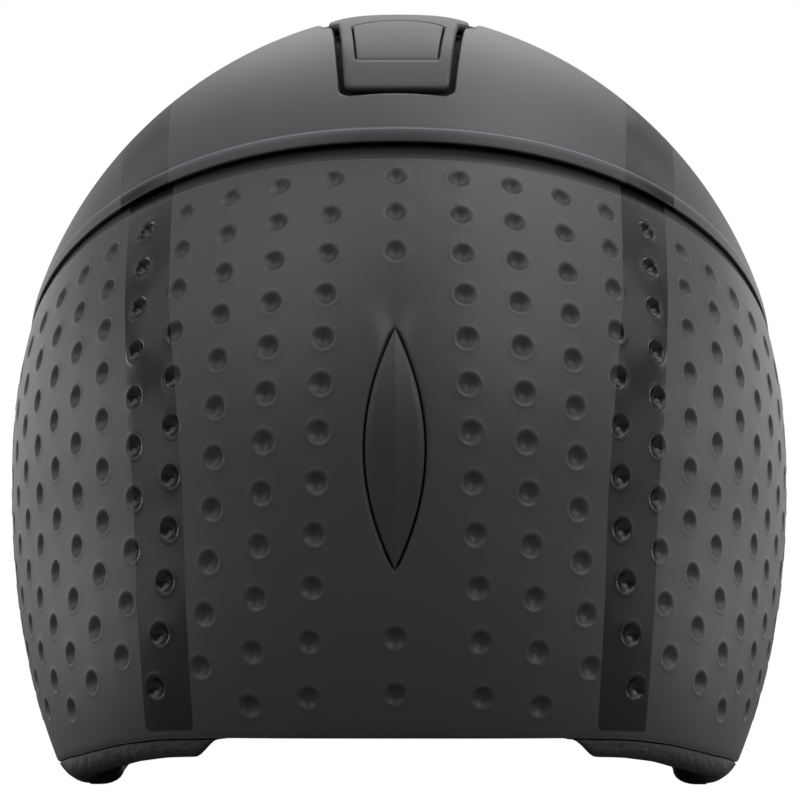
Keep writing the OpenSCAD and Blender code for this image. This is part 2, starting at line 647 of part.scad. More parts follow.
strip_half = 7;
strip_t = 2.4;
strip_top = 106;
module fit_hanger() {
  color("#333436") placed() translate([0, fit_y, 0]) difference() {
    rotate([90, 0, 0]) linear_extrude(strip_t) polygon([[-strip_half, dial_z + housing_tall + 2],
      [strip_half, dial_z + housing_tall + 2], [strip_half, strip_top - 3], [strip_half - 3, strip_top],
      [3 - strip_half, strip_top], [-strip_half, strip_top - 3]]);
    for (k = [0:3]) translate([0, 0, strip_top - 6 - 5 * k]) rotate([90, 0, 0])
      cylinder(r = 1.2, h = 20, center = true, $fn = 24);
  }
}
module hanger_guide() {
  guide_low = wing_high + height_travel + 1.5;
  guide_back = -cav[1] + 2.4;
  color("#2c2d2f") placed() difference() {
    translate([-11, guide_back, guide_low]) cube([22, fit_y + 2.6 - guide_back, 8]);
    translate([-strip_half - 0.3, fit_y - strip_t - 0.3, 0]) cube([2 * strip_half + 0.6, strip_t + 0.6, far]);
  }
}

module housing_slots() {
  for (s = [-1, 1]) translate([-far / 2, s > 0 ? pitch_r - 1.2 : -rack_back - 0.3, rack_d0 - 0.2])
    cube([far, rack_back - pitch_r + 1.5, rack_d1 - rack_d0 + 0.4]);
}
module rounded_plate(w, h, r) offset(r = r, $fn = 32) square([w - 2 * r, h - 2 * r], center = true);
module at_screws() for (x = [-screw_x, screw_x], z = [-screw_z, screw_z]) translate([x, z, 0]) children();
module dial_housing() {
  color("#2c2d2f") placed() behind(0) difference() {
    translate([0, 0, seat_gap]) linear_extrude(cover_d0 - seat_gap)
      rounded_plate(2 * housing_half, 2 * housing_tall, 3);
    translate([0, 0, rack_d0 - 0.2]) linear_extrude(10)
      square([2 * housing_half - 6, 2 * rack_back + 0.6], center = true);
    housing_slots();
    cylinder(r = 1.5 + run_gap, h = 20, center = true, $fn = 32);
    at_screws() translate([0, 0, 1]) cylinder(r = 0.9 + run_gap, h = 20, $fn = 24);
  }
}
module dial_cover() {
  color("#2c2d2f") placed() behind(0) difference() {
    translate([0, 0, cover_d0]) linear_extrude(cover_d1 - cover_d0)
      rounded_plate(2 * housing_half, 2 * housing_tall, 3);
    cylinder(r = 3.4 + run_gap, h = 40, center = true);
    at_screws() cylinder(r = 0.9 + run_gap, h = 40, center = true, $fn = 24);
  }
}
module housing_screws() {
  color("#9fa1a4") placed() behind(0) at_screws() {
    translate([0, 0, 1.2]) cylinder(r = 0.9, h = cover_d1 - 1.2, $fn = 24);
    translate([0, 0, cover_d1]) difference() {
      cylinder(r = 1.7, h = 1, $fn = 32);
      translate([0, 0, 0.4]) linear_extrude(2) square([2.4, 0.5], center = true);
    }
  }
}

// Involute tooth outline, thinned for running clearance
pressure = 25;
slack = 0.16;
base_r = pitch_r * cos(pressure);
function unwind(r) = let (t = sqrt(max(0, pow(r / base_r, 2) - 1))) t * 180 / PI - atan(t);
flank_turn = 90 / pinion_teeth - slack / 2 / pitch_r * 180 / PI + unwind(pitch_r);
function flank(s, k) = let (r = max(base_r, pitch_r - tooth_root + (tooth_root + tooth_tip) * k / 5),
  a = s * (flank_turn - unwind(r))) [r * sin(a), r * cos(a)];
module pinion_outline() {
  circle(r = pitch_r - tooth_root, $fn = 32);
  for (k = [0:pinion_teeth - 1]) rotate(360 * k / pinion_teeth)
    polygon(concat([[-flank(1, 0).x, pitch_r - tooth_root - 0.6]], [for (i = [0:5]) flank(-1, i)],
      [for (i = [5:-1:0]) flank(1, i)], [[flank(1, 0).x, pitch_r - tooth_root - 0.6]]));
}
module dial_pinion() {
  color("#c9cacc") placed() behind(0) difference() {
    union() {
      translate([0, 0, rack_d0]) linear_extrude(rack_d1 - rack_d0) pinion_outline();
      translate([0, 0, 0.5]) cylinder(r = 1.5, h = rack_d0, $fn = 32);
      translate([0, 0, rack_d0]) cylinder(r = 3.4, h = knob_d0 - rack_d0, $fn = 48);
      translate([0, 0, knob_d0]) cylinder(r = 2.6, h = 3.4, $fn = 48);
    }
    translate([0, 0, rack_d1]) cylinder(r = 1 + run_gap, h = 40, $fn = 24);
  }
}
module dial_knob() {
  flutes = 18;
  color("#2a2b2d") placed() behind(knob_d0) difference() {
    union() {
      cylinder(r = knob_r, h = knob_h - 1, $fn = 96);
      translate([0, 0, knob_h - 1]) cylinder(r1 = knob_r, r2 = knob_r - 1, h = 1, $fn = 96);
    }
    for (k = [0:flutes - 1]) rotate(360 * k / flutes) translate([knob_r + 0.9, 0, -1])
      cylinder(r = 1.7, h = knob_h + 2, $fn = 24);
    translate([0, 0, -1]) cylinder(r = 2.6 + run_gap, h = 4.5, $fn = 48);
    cylinder(r = 1 + run_gap, h = 40, $fn = 24);
    translate([0, 0, knob_h - 2]) cylinder(r = 2.5, h = 5, $fn = 32);
    translate([0, 0, -1]) difference() {
      cylinder(r = knob_r - 2.4, h = 4, $fn = 96);
      cylinder(r = 5.4, h = 4, $fn = 48);
    }
  }
}
module dial_screw() {
  color("#9fa1a4") placed() behind(knob_d0) {
    translate([0, 0, -1.5]) cylinder(r = 1, h = knob_h - 0.5, $fn = 24);
    translate([0, 0, knob_h - 2]) difference() {
      cylinder(r = 2.3, h = 1.4, $fn = 32);
      translate([0, 0, 0.6]) linear_extrude(2) circle(r = 1, $fn = 6);
    }
  }
}
module click_spring() {
  color("#c4c6c9") placed() behind(cover_d1 + 0.1) linear_extrude(0.4) difference() {
    circle(r = 8.6);
    circle(r = 7.2);
  }
}

// Fit bands: a straight rack into the housing and an arm round the cavity wall
arm_off = [4.5, 6.5];
rack_tip = 6;
arm_start = -housing_half - band_travel - 1;
arm_end_y = -8;
function arm_y(x, off) = -(cav[1] - off) * pow(1 - pow(abs(x) / (cav[0] - off), crown_n), 1 / crown_n);
function arm_th_pt(th, off) = let (p = cav_pt(th, 0, off)) [p.x, p.y];
module arm_plan() {
  th0 = -asin(pow(-(arm_start - 1) / (cav[0] - arm_off[0]), crown_n / 2));
  th1 = -acos(pow(-arm_end_y / (cav[1] - arm_off[0]), crown_n / 2));
  n = 14;
  polygon(concat([for (k = [0:n]) arm_th_pt(th0 + (th1 - th0) * k / n, arm_off[0])],
    [for (k = [n:-1:0]) arm_th_pt(th0 + (th1 - th0) * k / n, arm_off[1])]));
}
rack_teeth = floor((rack_tip - arm_start - 4) / (PI * gear_module));
module rack_bar() {
  step = PI * gear_module;
  wide = step / 4 - slack / 4;
  lean = tan(pressure);
  translate([arm_start - 2, pitch_r + tooth_root]) square([rack_tip - arm_start + 2, rack_back - pitch_r - tooth_root]);
  for (k = [-rack_teeth:1]) translate([step * (k + 0.5), pitch_r]) polygon([[-wide - tooth_root * lean, tooth_root + 0.01],
    [-wide + tooth_tip * lean, -tooth_tip], [wide - tooth_tip * lean, -tooth_tip], [wide + tooth_root * lean, tooth_root + 0.01]]);
}
module fit_band() {
  arm_low = dial_z + pitch_r - 3.3;
  link_rear = min(fit_y - rack_d1, arm_y(arm_start, arm_off[0]));
  link_front = max(fit_y - rack_d0, arm_y(arm_start, arm_off[1]));
  union() {
    behind(rack_d0) linear_extrude(rack_d1 - rack_d0) rack_bar();
    translate([0, 0, arm_low]) linear_extrude(8.5) arm_plan();
    translate([arm_start - 2, link_rear, arm_low]) cube([2, link_front - link_rear, 8.5]);
  }
}
module fit_band_left() color("#2f3033") placed() fit_band();
module fit_band_right() color("#2f3033") placed()
  translate([0, 0, 2 * dial_z]) rotate([0, 180, 0]) fit_band();

// Straps: anchors in the wall, webbing along it, dividers and the chin strap ring
module anchor_place(th) {
  p = cav_pt(th, anchor_z, 0);
  q = cav_pt(th + 1, anchor_z, 0) - cav_pt(th - 1, anchor_z, 0);
  translate(p) rotate([0, 90, atan2(-q.x, q.y)]) children();
}
module strap_anchors() {
  color("#262729") placed() for (a = anchor_turns, s = [-1, 1]) anchor_place(s * a) difference() {
    cylinder(r = anchor_r, h = 2.6, center = true);
    linear_extrude(6, center = true) square([3, 12], center = true);
  }
}
module wall_strap(th0, z0, th1, z1) {
  n = 9;
  off = 1.9;
  function mid(k) = cav_pt(th0 + (th1 - th0) * k / n, z0 + (z1 - z0) * k / n, off);
  rings = [for (k = [0:n]) let (d = mid(k + 0.5) - mid(k - 0.5), p = mid(k),
    q = cav_pt(th0 + (th1 - th0) * k / n + 1, 0, off) - cav_pt(th0 + (th1 - th0) * k / n - 1, 0, off),
    out = [q.y, -q.x, 0] / norm(q), side = cross(d, out) / norm(cross(d, out)) * strap_w / 2, in = -out * strap_t)
    [p - side, p + side, p + side + in, p - side + in]];
  polyhedron([for (r = rings) each r], concat([[0, 1, 2, 3]], [[for (i = [3:-1:0]) n * 4 + i]],
    [for (k = [0:n - 1], i = [0:3]) let (j = (i + 1) % 4, lo = k * 4, hi = lo + 4)
      each [[lo + i, hi + i, hi + j], [lo + i, hi + j, lo + j]]]));
}
divider_y = 8;
divider_turn = 90 + asin(pow(divider_y / cav[2], crown_n / 2));
module front_strap() wall_strap(anchor_turns[1], anchor_z, divider_turn + 3, chin_z + 10);
module rear_strap() wall_strap(anchor_turns[0], anchor_z, divider_turn - 5, chin_z + 10);
module front_strap_right() color("#1e1e1f") placed() front_strap();
module front_strap_left() color("#1e1e1f") placed() mirror([1, 0, 0]) front_strap();
module rear_strap_right() color("#1e1e1f") placed() rear_strap();
module rear_strap_left() color("#1e1e1f") placed() mirror([1, 0, 0]) rear_strap();

divider_off = 1.9 + 2 * strap_t + 0.6;
divider_t = 2.4;
module divider() {
  p = cav_pt(divider_turn, 0, divider_off);
  translate([p.x - divider_t, p.y, chin_z + 7]) rotate([90, 0, 90]) linear_extrude(divider_t) difference() {
    rounded_plate(24, 34, 5);
    for (z = [-11, 11]) translate([0, z]) rounded_plate(17, 2.4, 1.1);
  }
}
module divider_right() color("#28292b") placed() divider();
module divider_left() color("#28292b") placed() mirror([1, 0, 0]) divider();

strap_off = divider_off + divider_t + 2 * seat_gap;
buckle_turn = 48;
strap_end_turn = divider_turn - 1;
function chin_pt(th, off) = let (p = cav_pt(th, 0, off)) [p.x, p.y];
module chin_arc(th0, th1, off0, off1) polygon(concat(
  [for (k = [0:20]) chin_pt(th0 + (th1 - th0) * k / 20, off0)],
  [for (k = [20:-1:0]) chin_pt(th0 + (th1 - th0) * k / 20, off1)]));
module webbing(th0, th1) translate([0, 0, chin_z - strap_w / 2]) linear_extrude(strap_w)
  chin_arc(th0, th1, strap_off, strap_off + strap_t);
buckle_gap_turn = 9;
module chin_strap_left() color("#1e1e1f") placed() webbing(-strap_end_turn, buckle_turn - buckle_gap_turn);
module chin_strap_right() color("#1e1e1f") placed() webbing(buckle_turn + buckle_gap_turn, strap_end_turn);
module chin_pad() {
  color("#303133") placed() translate([0, 0, chin_z - strap_w / 2 - 1.8]) linear_extrude(strap_w + 3.6) difference() {
    offset(r = 1, $fn = 16) chin_arc(-62, -34, strap_off - 0.9, strap_off + strap_t + 3);
    chin_arc(-70, -20, strap_off - 0.3, strap_off + strap_t + 0.3);
  }
}
module strap_keeper() {
  color("#252526") placed() translate([0, 0, chin_z - strap_w / 2 - 1.5]) linear_extrude(strap_w + 3) difference() {
    chin_arc(70, 74, strap_off - 1.5, strap_off + strap_t + 1.5);
    chin_arc(60, 80, strap_off - 0.3, strap_off + strap_t + 0.3);
  }
}

// Buckle frame: X along the strap, Y towards the head, Z up
module at_buckle() {
  p = chin_pt(buckle_turn, strap_off);
  q = chin_pt(buckle_turn + 1, strap_off) - chin_pt(buckle_turn - 1, strap_off);
  translate([p.x, p.y, chin_z]) rotate(atan2(q.y, q.x)) children();
}
rail_in = 7.6;
module buckle_base() {
  color("#202122") placed() at_buckle() difference() {
    union() {
      translate([-12, -2.4, -9]) cube([24, 3, 18]);
      for (s = [-1, 1]) scale([s, 1, 1]) {
        translate([rail_in, 0, -9]) cube([3, 4, 18]);
        translate([rail_in - 1.8, 2.6, -9]) cube([3, 1.4, 18]);
      }
      translate([-18.5, -1.2, -9]) cube([8, 2, 18]);
    }
    translate([-16.5, -5, -8]) cube([2.4, 10, 16]);
    translate([0, -1.8, 0]) rotate([-90, 0, 0]) cylinder(r = 4 + run_gap, h = 4, $fn = 48);
  }
}
module buckle_slider() {
  color("#2b2c2e") placed() at_buckle() difference() {
    union() {
      translate([-rail_in + 0.2, 0.8, -8.6]) cube([2 * rail_in - 0.4, 1.6, 17.2]);
      translate([-rail_in + 2.1, 0.8, -8.6]) cube([2 * rail_in - 4.2, 4, 17.2]);
      translate([-11, 4.2, -9]) cube([22, 2.4, 18]);
      translate([10.8, 3.7, -9]) cube([8, 1.8, 18]);
    }
    translate([14, 0, -8]) cube([2.4, 10, 16]);
    translate([0, -1, 0]) rotate([-90, 0, 0]) cylinder(r = 4 + run_gap, h = 3.8, $fn = 48);
  }
}
module buckle_base_magnet() color("#8f9194") placed() at_buckle()
  translate([0, -1.7, 0]) rotate([-90, 0, 0]) cylinder(r = 4, h = 2, $fn = 48);
module buckle_slider_magnet() color("#8f9194") placed() at_buckle()
  translate([0, 0.9, 0]) rotate([-90, 0, 0]) cylinder(r = 4, h = 1.8, $fn = 48);

// Shield: a lens below the brow, hung on a frame that magnets hold to the shell
magnet_z = brow_z + 6;
magnet_turns = [138, 180, 222];
frame_high = brow_z + 13;
function shield_grid(th0, th1, z0, z1, out, cols, rows) = [for (k = [0:rows]) [for (i = [0:cols])
  skin_pt(th0 + (th1 - th0) * i / cols, z0 + (z1 - z0) * k / rows, [-out, -out, -out])]];
module shield_lens() {
  inside = shield_gap + 1;
  color("#303338", 0.6) placed() difference() {
    intersection() {
      grid_solid(shield_grid(108, 252, 36, brow_z, lens_out, 32, 8), shield_grid(108, 252, 36, brow_z, inside, 32, 8));
      rotate([90, 0, 90]) linear_extrude(far, center = true) offset(r = 10) offset(delta = -10)
        polygon([[ear_front + 12, brow_z + 30], [ear_front + 12, 66], [ear_front + 26, 44], [200, 40], [200, brow_z + 30]]);
    }
    translate([0, 0, 36]) rotate([-90, 0, 0]) cylinder(r = 24, h = 200);
  }
}
module shield_frame() {
  color("#2b2c2e") placed() difference() {
    intersection() {
      grid_solid(shield_grid(108, 252, brow_z, frame_high, shield_gap + shield_frame_t, 32, 2),
        shield_grid(108, 252, brow_z, frame_high, shield_gap, 32, 2));
      rotate([90, 0, 90]) linear_extrude(far, center = true) offset(r = 5) offset(delta = -5)
        polygon([[ear_front + 6, brow_z - 30], [ear_front + 6, frame_high - 2], [ear_front + 20, frame_high], [200, frame_high + 20], [200, brow_z - 30]]);
    }
    for (a = magnet_turns) shield_magnet_place(a) translate([0, 0, -6]) cylinder(r = magnet_r + run_gap, h = 8);
  }
}
module shield_magnet_place(a) on_skin(a, magnet_z, [-shield_gap, -shield_gap, -shield_gap]) children();
module shield_magnets() color("#8f9194") placed() for (a = magnet_turns)
  shield_magnet_place(a) translate([0, 0, 0.1]) cylinder(r = magnet_r, h = 1.8);
module brow_magnets() color("#8f9194") placed() for (a = magnet_turns)
  on_skin(a, magnet_z, skin_front) translate([0, 0, -2.3]) cylinder(r = magnet_r, h = 1.9);

front_shell();
rear_shell();
tail_insert();
foam_liner();
port_frame();
port_door();
door_hinge_pin();
port_grille();
door_magnet();
catch_magnet();
ear_edge_left();
ear_edge_right();
brow_pad();
crown_pad();
rear_pad();
side_pad_left();
side_pad_right();
fit_cradle();
cradle_pad();
fit_hanger();
hanger_guide();
dial_housing();
dial_cover();
housing_screws();
dial_pinion();
dial_knob();
dial_screw();
click_spring();
fit_band_left();
fit_band_right();
strap_anchors();
front_strap_left();
front_strap_right();
rear_strap_left();
rear_strap_right();
divider_left();
divider_right();
chin_strap_left();
chin_strap_right();
chin_pad();
buckle_base();
buckle_slider();
buckle_base_magnet();
buckle_slider_magnet();
strap_keeper();
shield_lens();
shield_frame();
shield_magnets();
brow_magnets();
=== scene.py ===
import json
import math

import bmesh
import bpy
import numpy as np
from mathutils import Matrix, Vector, geometry


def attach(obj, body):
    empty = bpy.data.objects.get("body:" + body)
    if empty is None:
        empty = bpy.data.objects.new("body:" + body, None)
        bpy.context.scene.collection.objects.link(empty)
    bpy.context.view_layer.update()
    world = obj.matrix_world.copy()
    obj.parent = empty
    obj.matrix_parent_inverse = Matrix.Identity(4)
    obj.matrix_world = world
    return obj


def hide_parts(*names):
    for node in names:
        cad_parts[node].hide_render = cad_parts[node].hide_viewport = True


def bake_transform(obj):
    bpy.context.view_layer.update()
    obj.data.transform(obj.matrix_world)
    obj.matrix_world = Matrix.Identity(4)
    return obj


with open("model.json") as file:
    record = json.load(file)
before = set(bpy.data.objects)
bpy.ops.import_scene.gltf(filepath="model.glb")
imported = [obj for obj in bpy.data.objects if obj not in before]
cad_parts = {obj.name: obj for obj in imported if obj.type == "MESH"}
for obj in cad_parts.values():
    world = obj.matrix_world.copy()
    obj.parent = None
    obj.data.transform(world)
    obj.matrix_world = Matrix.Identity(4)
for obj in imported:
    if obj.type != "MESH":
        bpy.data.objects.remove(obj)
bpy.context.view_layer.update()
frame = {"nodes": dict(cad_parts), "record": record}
NODES = frame["nodes"]

# sizes in mm, as in the part's source: half width, and reach to the rear and to the front
HALF_WIDTH, REAR, FRONT = 111.6, 162.0, 124.0
# the widest level, the crown's rise above it and the skirt's drop below it
WIDEST_Z, RISE, DROP = 83.0, 136.4, 143.8
# powers of the curve in plan, squarer towards the bottom, and of the crown's profile
PLAN_POWER, PLAN_SQUARER = 2.1, 1.6
CROWN_FULL, CROWN_ROUND = 2.32, 1.756
WALL = 2.4
# how far the tail shell lies inside the skin: at the sides, fore and aft, and on top
TAIL = (0.6, 4.0, 4.0)
# sloping planes, each as its height at the middle and its fall towards the front
LIP = (125.6, math.tan(math.radians(24.4)))
CHAMFER = (130.2, math.tan(math.radians(24.4)))
TAIL_TOP = (123.4, math.tan(math.radians(23.2)))
EAR_Z, EAR_FRONT, BROW_Z = 7.0, 58.0, 112.0
SOLID_RIM = [(-200, 19.6), (-143, 19), (-122, 17.7), (-107, 15.7), (-90, 12.5), (-40, 8), (45, 7)]
# the rim as it shows: place along y and height, from the nape to the brow
RIM = [(-200, 18.6), (-138, 18.0), (-133, 17.55), (-130, 17.2), (-126.5, 16.5), (-120, 15.3), (-112.5, 13.6),
       (-100, 11.4), (-80, 9.0), (-62, 7.0), (-40, 5.6), (0, 6.2), (EAR_FRONT - 13, EAR_Z),
       (EAR_FRONT, EAR_Z + 8), (EAR_FRONT + 8, 30), (EAR_FRONT + 14, 60), (EAR_FRONT + 20, 84),
       (EAR_FRONT + 34, BROW_Z - 8), (EAR_FRONT + 64, BROW_Z), (200, BROW_Z)]
# the insert in the tail: its ends, half width and ridge
LENS_LOW, LENS_HIGH, LENS_HALF, RIDGE = 63.7, 126.9, 7.8, 1.4
# the port's arc along the helmet, its rear end and the door's half width
PORT_R, PORT_Y = 181.0, -1.6
PORT_Z = WIDEST_Z + RISE - 0.1 - PORT_R
PORT_REAR, DOOR_HALF = -95.0, 12.7
# the door's hinge line in y and z, the barrel round it and the room that the frame leaves it
HINGE, BARREL, BARREL_GAP = np.array((-77.6, 199.923)), 2.4, 0.32
# depth and edge radius of the frame and of the lid, the gap between them, and the lid's run over its barrel
PORT_DEEP, PORT_EDGE, LID_DEEP, LID_EDGE, LID_GAP, LID_RUN_ON = 2.4, 0.9, 2.2, 0.35, 0.35, 1.05
# rows of dimples: height of the top one, drop to the next and its growth, slope in degrees and its growth
DIMPLE_ROWS, ROW_TOP, ROW_DROP, DROP_GROWTH, ROW_SLOPE, SLOPE_GROWTH = 12, 167.9, 9.9, 0.52, 29.3, 0.055
# dimples of a row: the first one's place beside the middle, the spacing, and the growth of both down the rows
COLUMN_GAP, GAP_GROWTH, DIMPLE_PITCH, PITCH_GROWTH = 16.7, 0.55, 14.7, 0.12
# where a row ends: at this place along y, or this high above the solid's rim
DIMPLE_FRONT, DIMPLE_MARGIN = 6.0, 8.0
PIT_RADIUS, PIT_DEPTH, PIT_SOFT = 2.95, 1.9, 0.12
RING_HEIGHT, RING_RADIUS, RING_WIDTH = 0.16, 3.45, 0.5
# the even grid of the tail's mesh keeps this far from the middle of a dimple
DIMPLE_CLEAR = 4.9
# gloss stripes: place along y and inner edge on the front shell, height and both edges on the tail
FRONT_STRIPE, FRONT_STRIPE_WIDTH = [(-110, 61.7), (-60, 63.6), (60, 66.0)], 13.3
TAIL_STRIPE = [(18, 53.5, 66.5), (55, 55.5, 69.2), (81, 56.3, 70.1), (108, 58.3, 72.2), (135, 60.9, 73.4),
               (200, 61.2, 73.6)]
# sewn channels of the pads
CHANNEL_DEPTH, CHANNEL_WIDTH, SEAM_WIDTH = 0.75, 0.9, 0.7
# how the pads are blown up: frames of cloth, its quality, pressure and stiffness
PUFF_FRAMES, PUFF_QUALITY, PUFF_PRESSURE, PUFF_STIFFNESS = 20, 4, 4, 25
# the most that the cloth moves a pad's point, and how far the pad is drawn in first, in metres
PUFF_LIMIT, PAD_SHRINK = 0.0012, 0.0006
# ends of the rolled ear edges along y
EAR_ENDS = (-69.5, 47.5)
# the liner's voxel, and how far its lower corners lie inside the shell
FOAM_VOXEL, FOAM_INSET = 2.2, 4.4
# scale of the webbing's ribs
RIB_SCALE = 620 / 3


# surface of the helmet
def plan_exp(z):
    """Power of the outline in plan at height z."""
    return PLAN_POWER + np.where(z < WIDEST_Z, PLAN_SQUARER * ((WIDEST_Z - z) / WIDEST_Z) ** 2, 0.0)


def level_shrink(z, rise):
    """Size of the outline at height z, 1 at the widest level."""
    up, down = np.clip((z - WIDEST_Z) / rise, 0, 1), np.clip((WIDEST_Z - z) / DROP, 0, 1)
    crown, skirt = (1 - up ** CROWN_FULL) ** (1 / CROWN_ROUND), (1 - down ** PLAN_POWER) ** (1 / PLAN_POWER)
    return np.where(z > WIDEST_Z, crown, skirt)


def skin(phi, z, inset=(0, 0, 0)):
    """Points of the surface at compass angle phi in radians, 0 at the tail, and height z."""
    phi, z = np.broadcast_arrays(np.asarray(phi, float), np.asarray(z, float))
    m = plan_exp(z)
    s, c = np.sin(phi), np.cos(phi)
    reach = np.where(c > 0, REAR, FRONT) - inset[1]
    flat = (np.abs(s / (HALF_WIDTH - inset[0])) ** m + np.abs(c / reach) ** m) ** (-1 / m)
    rho = flat * level_shrink(z, RISE - inset[2])
    return np.stack([rho * s, -rho * c, z], -1)


def skin_th(th, z, inset=(0, 0, 0)):
    """The same surface at the source's plan angle, in degrees."""
    m = 2 / plan_exp(z)
    s, c = np.sin(np.radians(th)), np.cos(np.radians(th))
    r = level_shrink(z, RISE - inset[2])
    reach = np.where(c > 0, REAR, FRONT) - inset[1]
    return np.stack([(HALF_WIDTH - inset[0]) * r * np.sign(s) * np.abs(s) ** m,
                     -reach * r * np.sign(c) * np.abs(c) ** m, z + 0 * r], -1)


def eased(t):
    """A share from 0 to 1 that starts and ends gently."""
    return t * t * (3 - 2 * t)


def unit(v):
    return v / np.maximum(np.linalg.norm(v, axis=-1, keepdims=True), 1e-12)


def skin_normal(phi, z, inset=(0, 0, 0)):
    d, e = 1e-3, 0.1
    a = skin(phi + d, z, inset) - skin(phi - d, z, inset)
    b = skin(phi, z + e, inset) - skin(phi, z - e, inset)
    return unit(np.cross(a, b))


def rim(y):
    return np.interp(y, *zip(*RIM))


def meet(phi, inset, target, lo=0.0, hi=215.0):
    """Height at which the surface at phi reaches target(y)."""
    phi = np.asarray(phi, float)
    lo, hi = np.full(phi.shape, lo), np.full(phi.shape, hi)
    for _ in range(40):
        mid = (lo + hi) / 2
        above = mid > target(skin(phi, mid, inset)[..., 1])
        lo, hi = np.where(above, lo, mid), np.where(above, mid, hi)
    return (lo + hi) / 2


def plane(p):
    return lambda y: p[0] - p[1] * y


# the frame's middle, as the source places it
LENS_MIDDLE = (LENS_LOW + LENS_HIGH) / 2
TAIL_END = max(REAR - TAIL[1], RIDGE - float(skin(0.0, LENS_MIDDLE, TAIL)[1]))
MIDDLE_Y = (TAIL_END - FRONT - 3.4) / 2


def placed(p):
    """Source millimetres to frame metres."""
    return (np.asarray(p, float) + (0, MIDDLE_Y, 0)) / 1000


# meshes
def linked(ob):
    bpy.context.scene.collection.objects.link(ob)
    return ob


def mesh_object(name, points, faces, weld, marks=None):
    """A welded mesh from source millimetres, with any named values that its points carry."""
    mesh = bpy.data.meshes.new(name)
    mesh.from_pydata(placed(points).tolist(), [], faces)
    mesh.update()
    for mark, values in (marks or {}).items():
        kind, field = ("FLOAT_VECTOR", "vector") if values.ndim == 2 else ("FLOAT", "value")
        held = mesh.attributes.new(mark, kind, "POINT")
        held.data.foreach_set(field, np.ascontiguousarray(values, np.float32).ravel())
    bm = bmesh.new()
    bm.from_mesh(mesh)
    bmesh.ops.remove_doubles(bm, verts=bm.verts, dist=weld / 1000)
    bmesh.ops.dissolve_degenerate(bm, edges=bm.edges, dist=1e-7)
    bmesh.ops.recalc_face_normals(bm, faces=bm.faces)
    bm.to_mesh(mesh)
    bm.free()
    mesh.polygons.foreach_set("use_smooth", [True] * len(mesh.polygons))
    return linked(bpy.data.objects.new(name, mesh))


def grid_faces(rows, cols, wrap, flip):
    r, c = np.meshgrid(np.arange(rows - 1), np.arange(cols if wrap else cols - 1), indexing="ij")
    d = (c + 1) % cols
    q = np.stack([r * cols + c, r * cols + d, (r + 1) * cols + d, (r + 1) * cols + c], -1)
    q = q.reshape(-1, 4)
    return (q[:, ::-1] if flip else q).tolist()


def lofted(name, rows, wrap=False, flip=False, weld=0.003):
    """A skin through rows of points, (rows, points, 3)."""
    rows = np.asarray(rows)
    return mesh_object(name, rows.reshape(-1, 3), grid_faces(*rows.shape[:2], wrap, flip), weld)


def capped(rows):
    """Rows of points with both ends drawn to a point."""
    first, last = (np.repeat(end.mean(0)[None, None], rows.shape[1], 1) for end in (rows[0], rows[-1]))
    return np.concatenate([first, rows, last])


def roll(d, r=1.2):
    """How far an edge of radius r has rolled in at distance d from the edge."""
    d = np.clip(d, 0, r)
    return r - np.sqrt(r * r - (r - d) ** 2)


def mask(ob, name, values):
    a = ob.data.attributes.new(name, "FLOAT", "POINT")
    a.data.foreach_set("value", np.asarray(values, np.float32))


def points_of(ob):
    co = np.empty(len(ob.data.vertices) * 3)
    ob.data.vertices.foreach_get("co", co)
    return co.reshape(-1, 3) * 1000 - (0, MIDDLE_Y, 0)


# node trees
class Wires:
    """A node tree written as calls, with named sockets where it is a group."""

    def __init__(self, tree, inputs=None, outputs=None):
        self.tree = tree
        for way, sockets in (("INPUT", inputs), ("OUTPUT", outputs)):
            for label, kind in (sockets or {}).items():
                tree.interface.new_socket(label, in_out=way, socket_type="NodeSocket" + kind)
        self.given = self.node("NodeGroupInput").outputs if inputs else None

    def put(self, socket, v):
        if isinstance(v, bpy.types.NodeSocket):
            self.tree.links.new(v, socket)
        else:
            socket.default_value = v

    def node(self, kind, inputs=None, **settings):
        n = self.tree.nodes.new(kind)
        for k, v in settings.items():
            setattr(n, k, v)
        for k, v in (inputs or {}).items():
            self.put(n.inputs[k], v)
        return n

    def math(self, op, *values):
        return self.node("ShaderNodeMath", dict(enumerate(values)), operation=op).outputs[0]


class ShapeTree(Wires):
    """A Geometry Nodes tree that reshapes a piece and gives it its material."""

    def __init__(self, name, sizes):
        super().__init__(bpy.data.node_groups.new(name, "GeometryNodeTree"),
                         {"Geometry": "Geometry", **sizes, "Finish": "Material"}, {"Geometry": "Geometry"})

    def named(self, mark, kind):
        """A value that the mesh carries under a name."""
        n = self.node("GeometryNodeInputNamedAttribute", {"Name": mark}, data_type=kind)
        return n.outputs["Attribute"]

    def bell(self, v, width):
        """Bell curve, 1 where v is 0."""
        share = self.math("DIVIDE", v, width)
        return self.math("EXPONENT", self.math("MULTIPLY", self.math("MULTIPLY", share, share), -1.0))

    def pressed(self, geometry, outward, deep):
        """The geometry pressed in by a depth in millimetres."""
        move = self.node("ShaderNodeVectorMath", {0: outward, "Scale": self.math("MULTIPLY", deep, -0.001)},
                         operation="SCALE").outputs["Vector"]
        return self.node("GeometryNodeSetPosition", {"Geometry": geometry, "Offset": move}).outputs[0]

    def close(self, geometry):
        whole = self.node("GeometryNodeRealizeInstances", {"Geometry": geometry}).outputs[0]
        done = self.node("GeometryNodeSetMaterial", {"Geometry": whole, "Material": self.given["Finish"]})
        self.node("NodeGroupOutput", {"Geometry": done.outputs[0]})
        return self.tree


def flattened(ob, mod):
    """Leaves a piece as the plain mesh that its modifier makes of it."""
    flat = bpy.data.meshes.new_from_object(ob.evaluated_get(bpy.context.evaluated_depsgraph_get()))
    ob.modifiers.remove(mod)
    old, ob.data = ob.data, flat
    bpy.data.meshes.remove(old)
    flat.polygons.foreach_set("use_smooth", [True] * len(flat.polygons))
    return ob


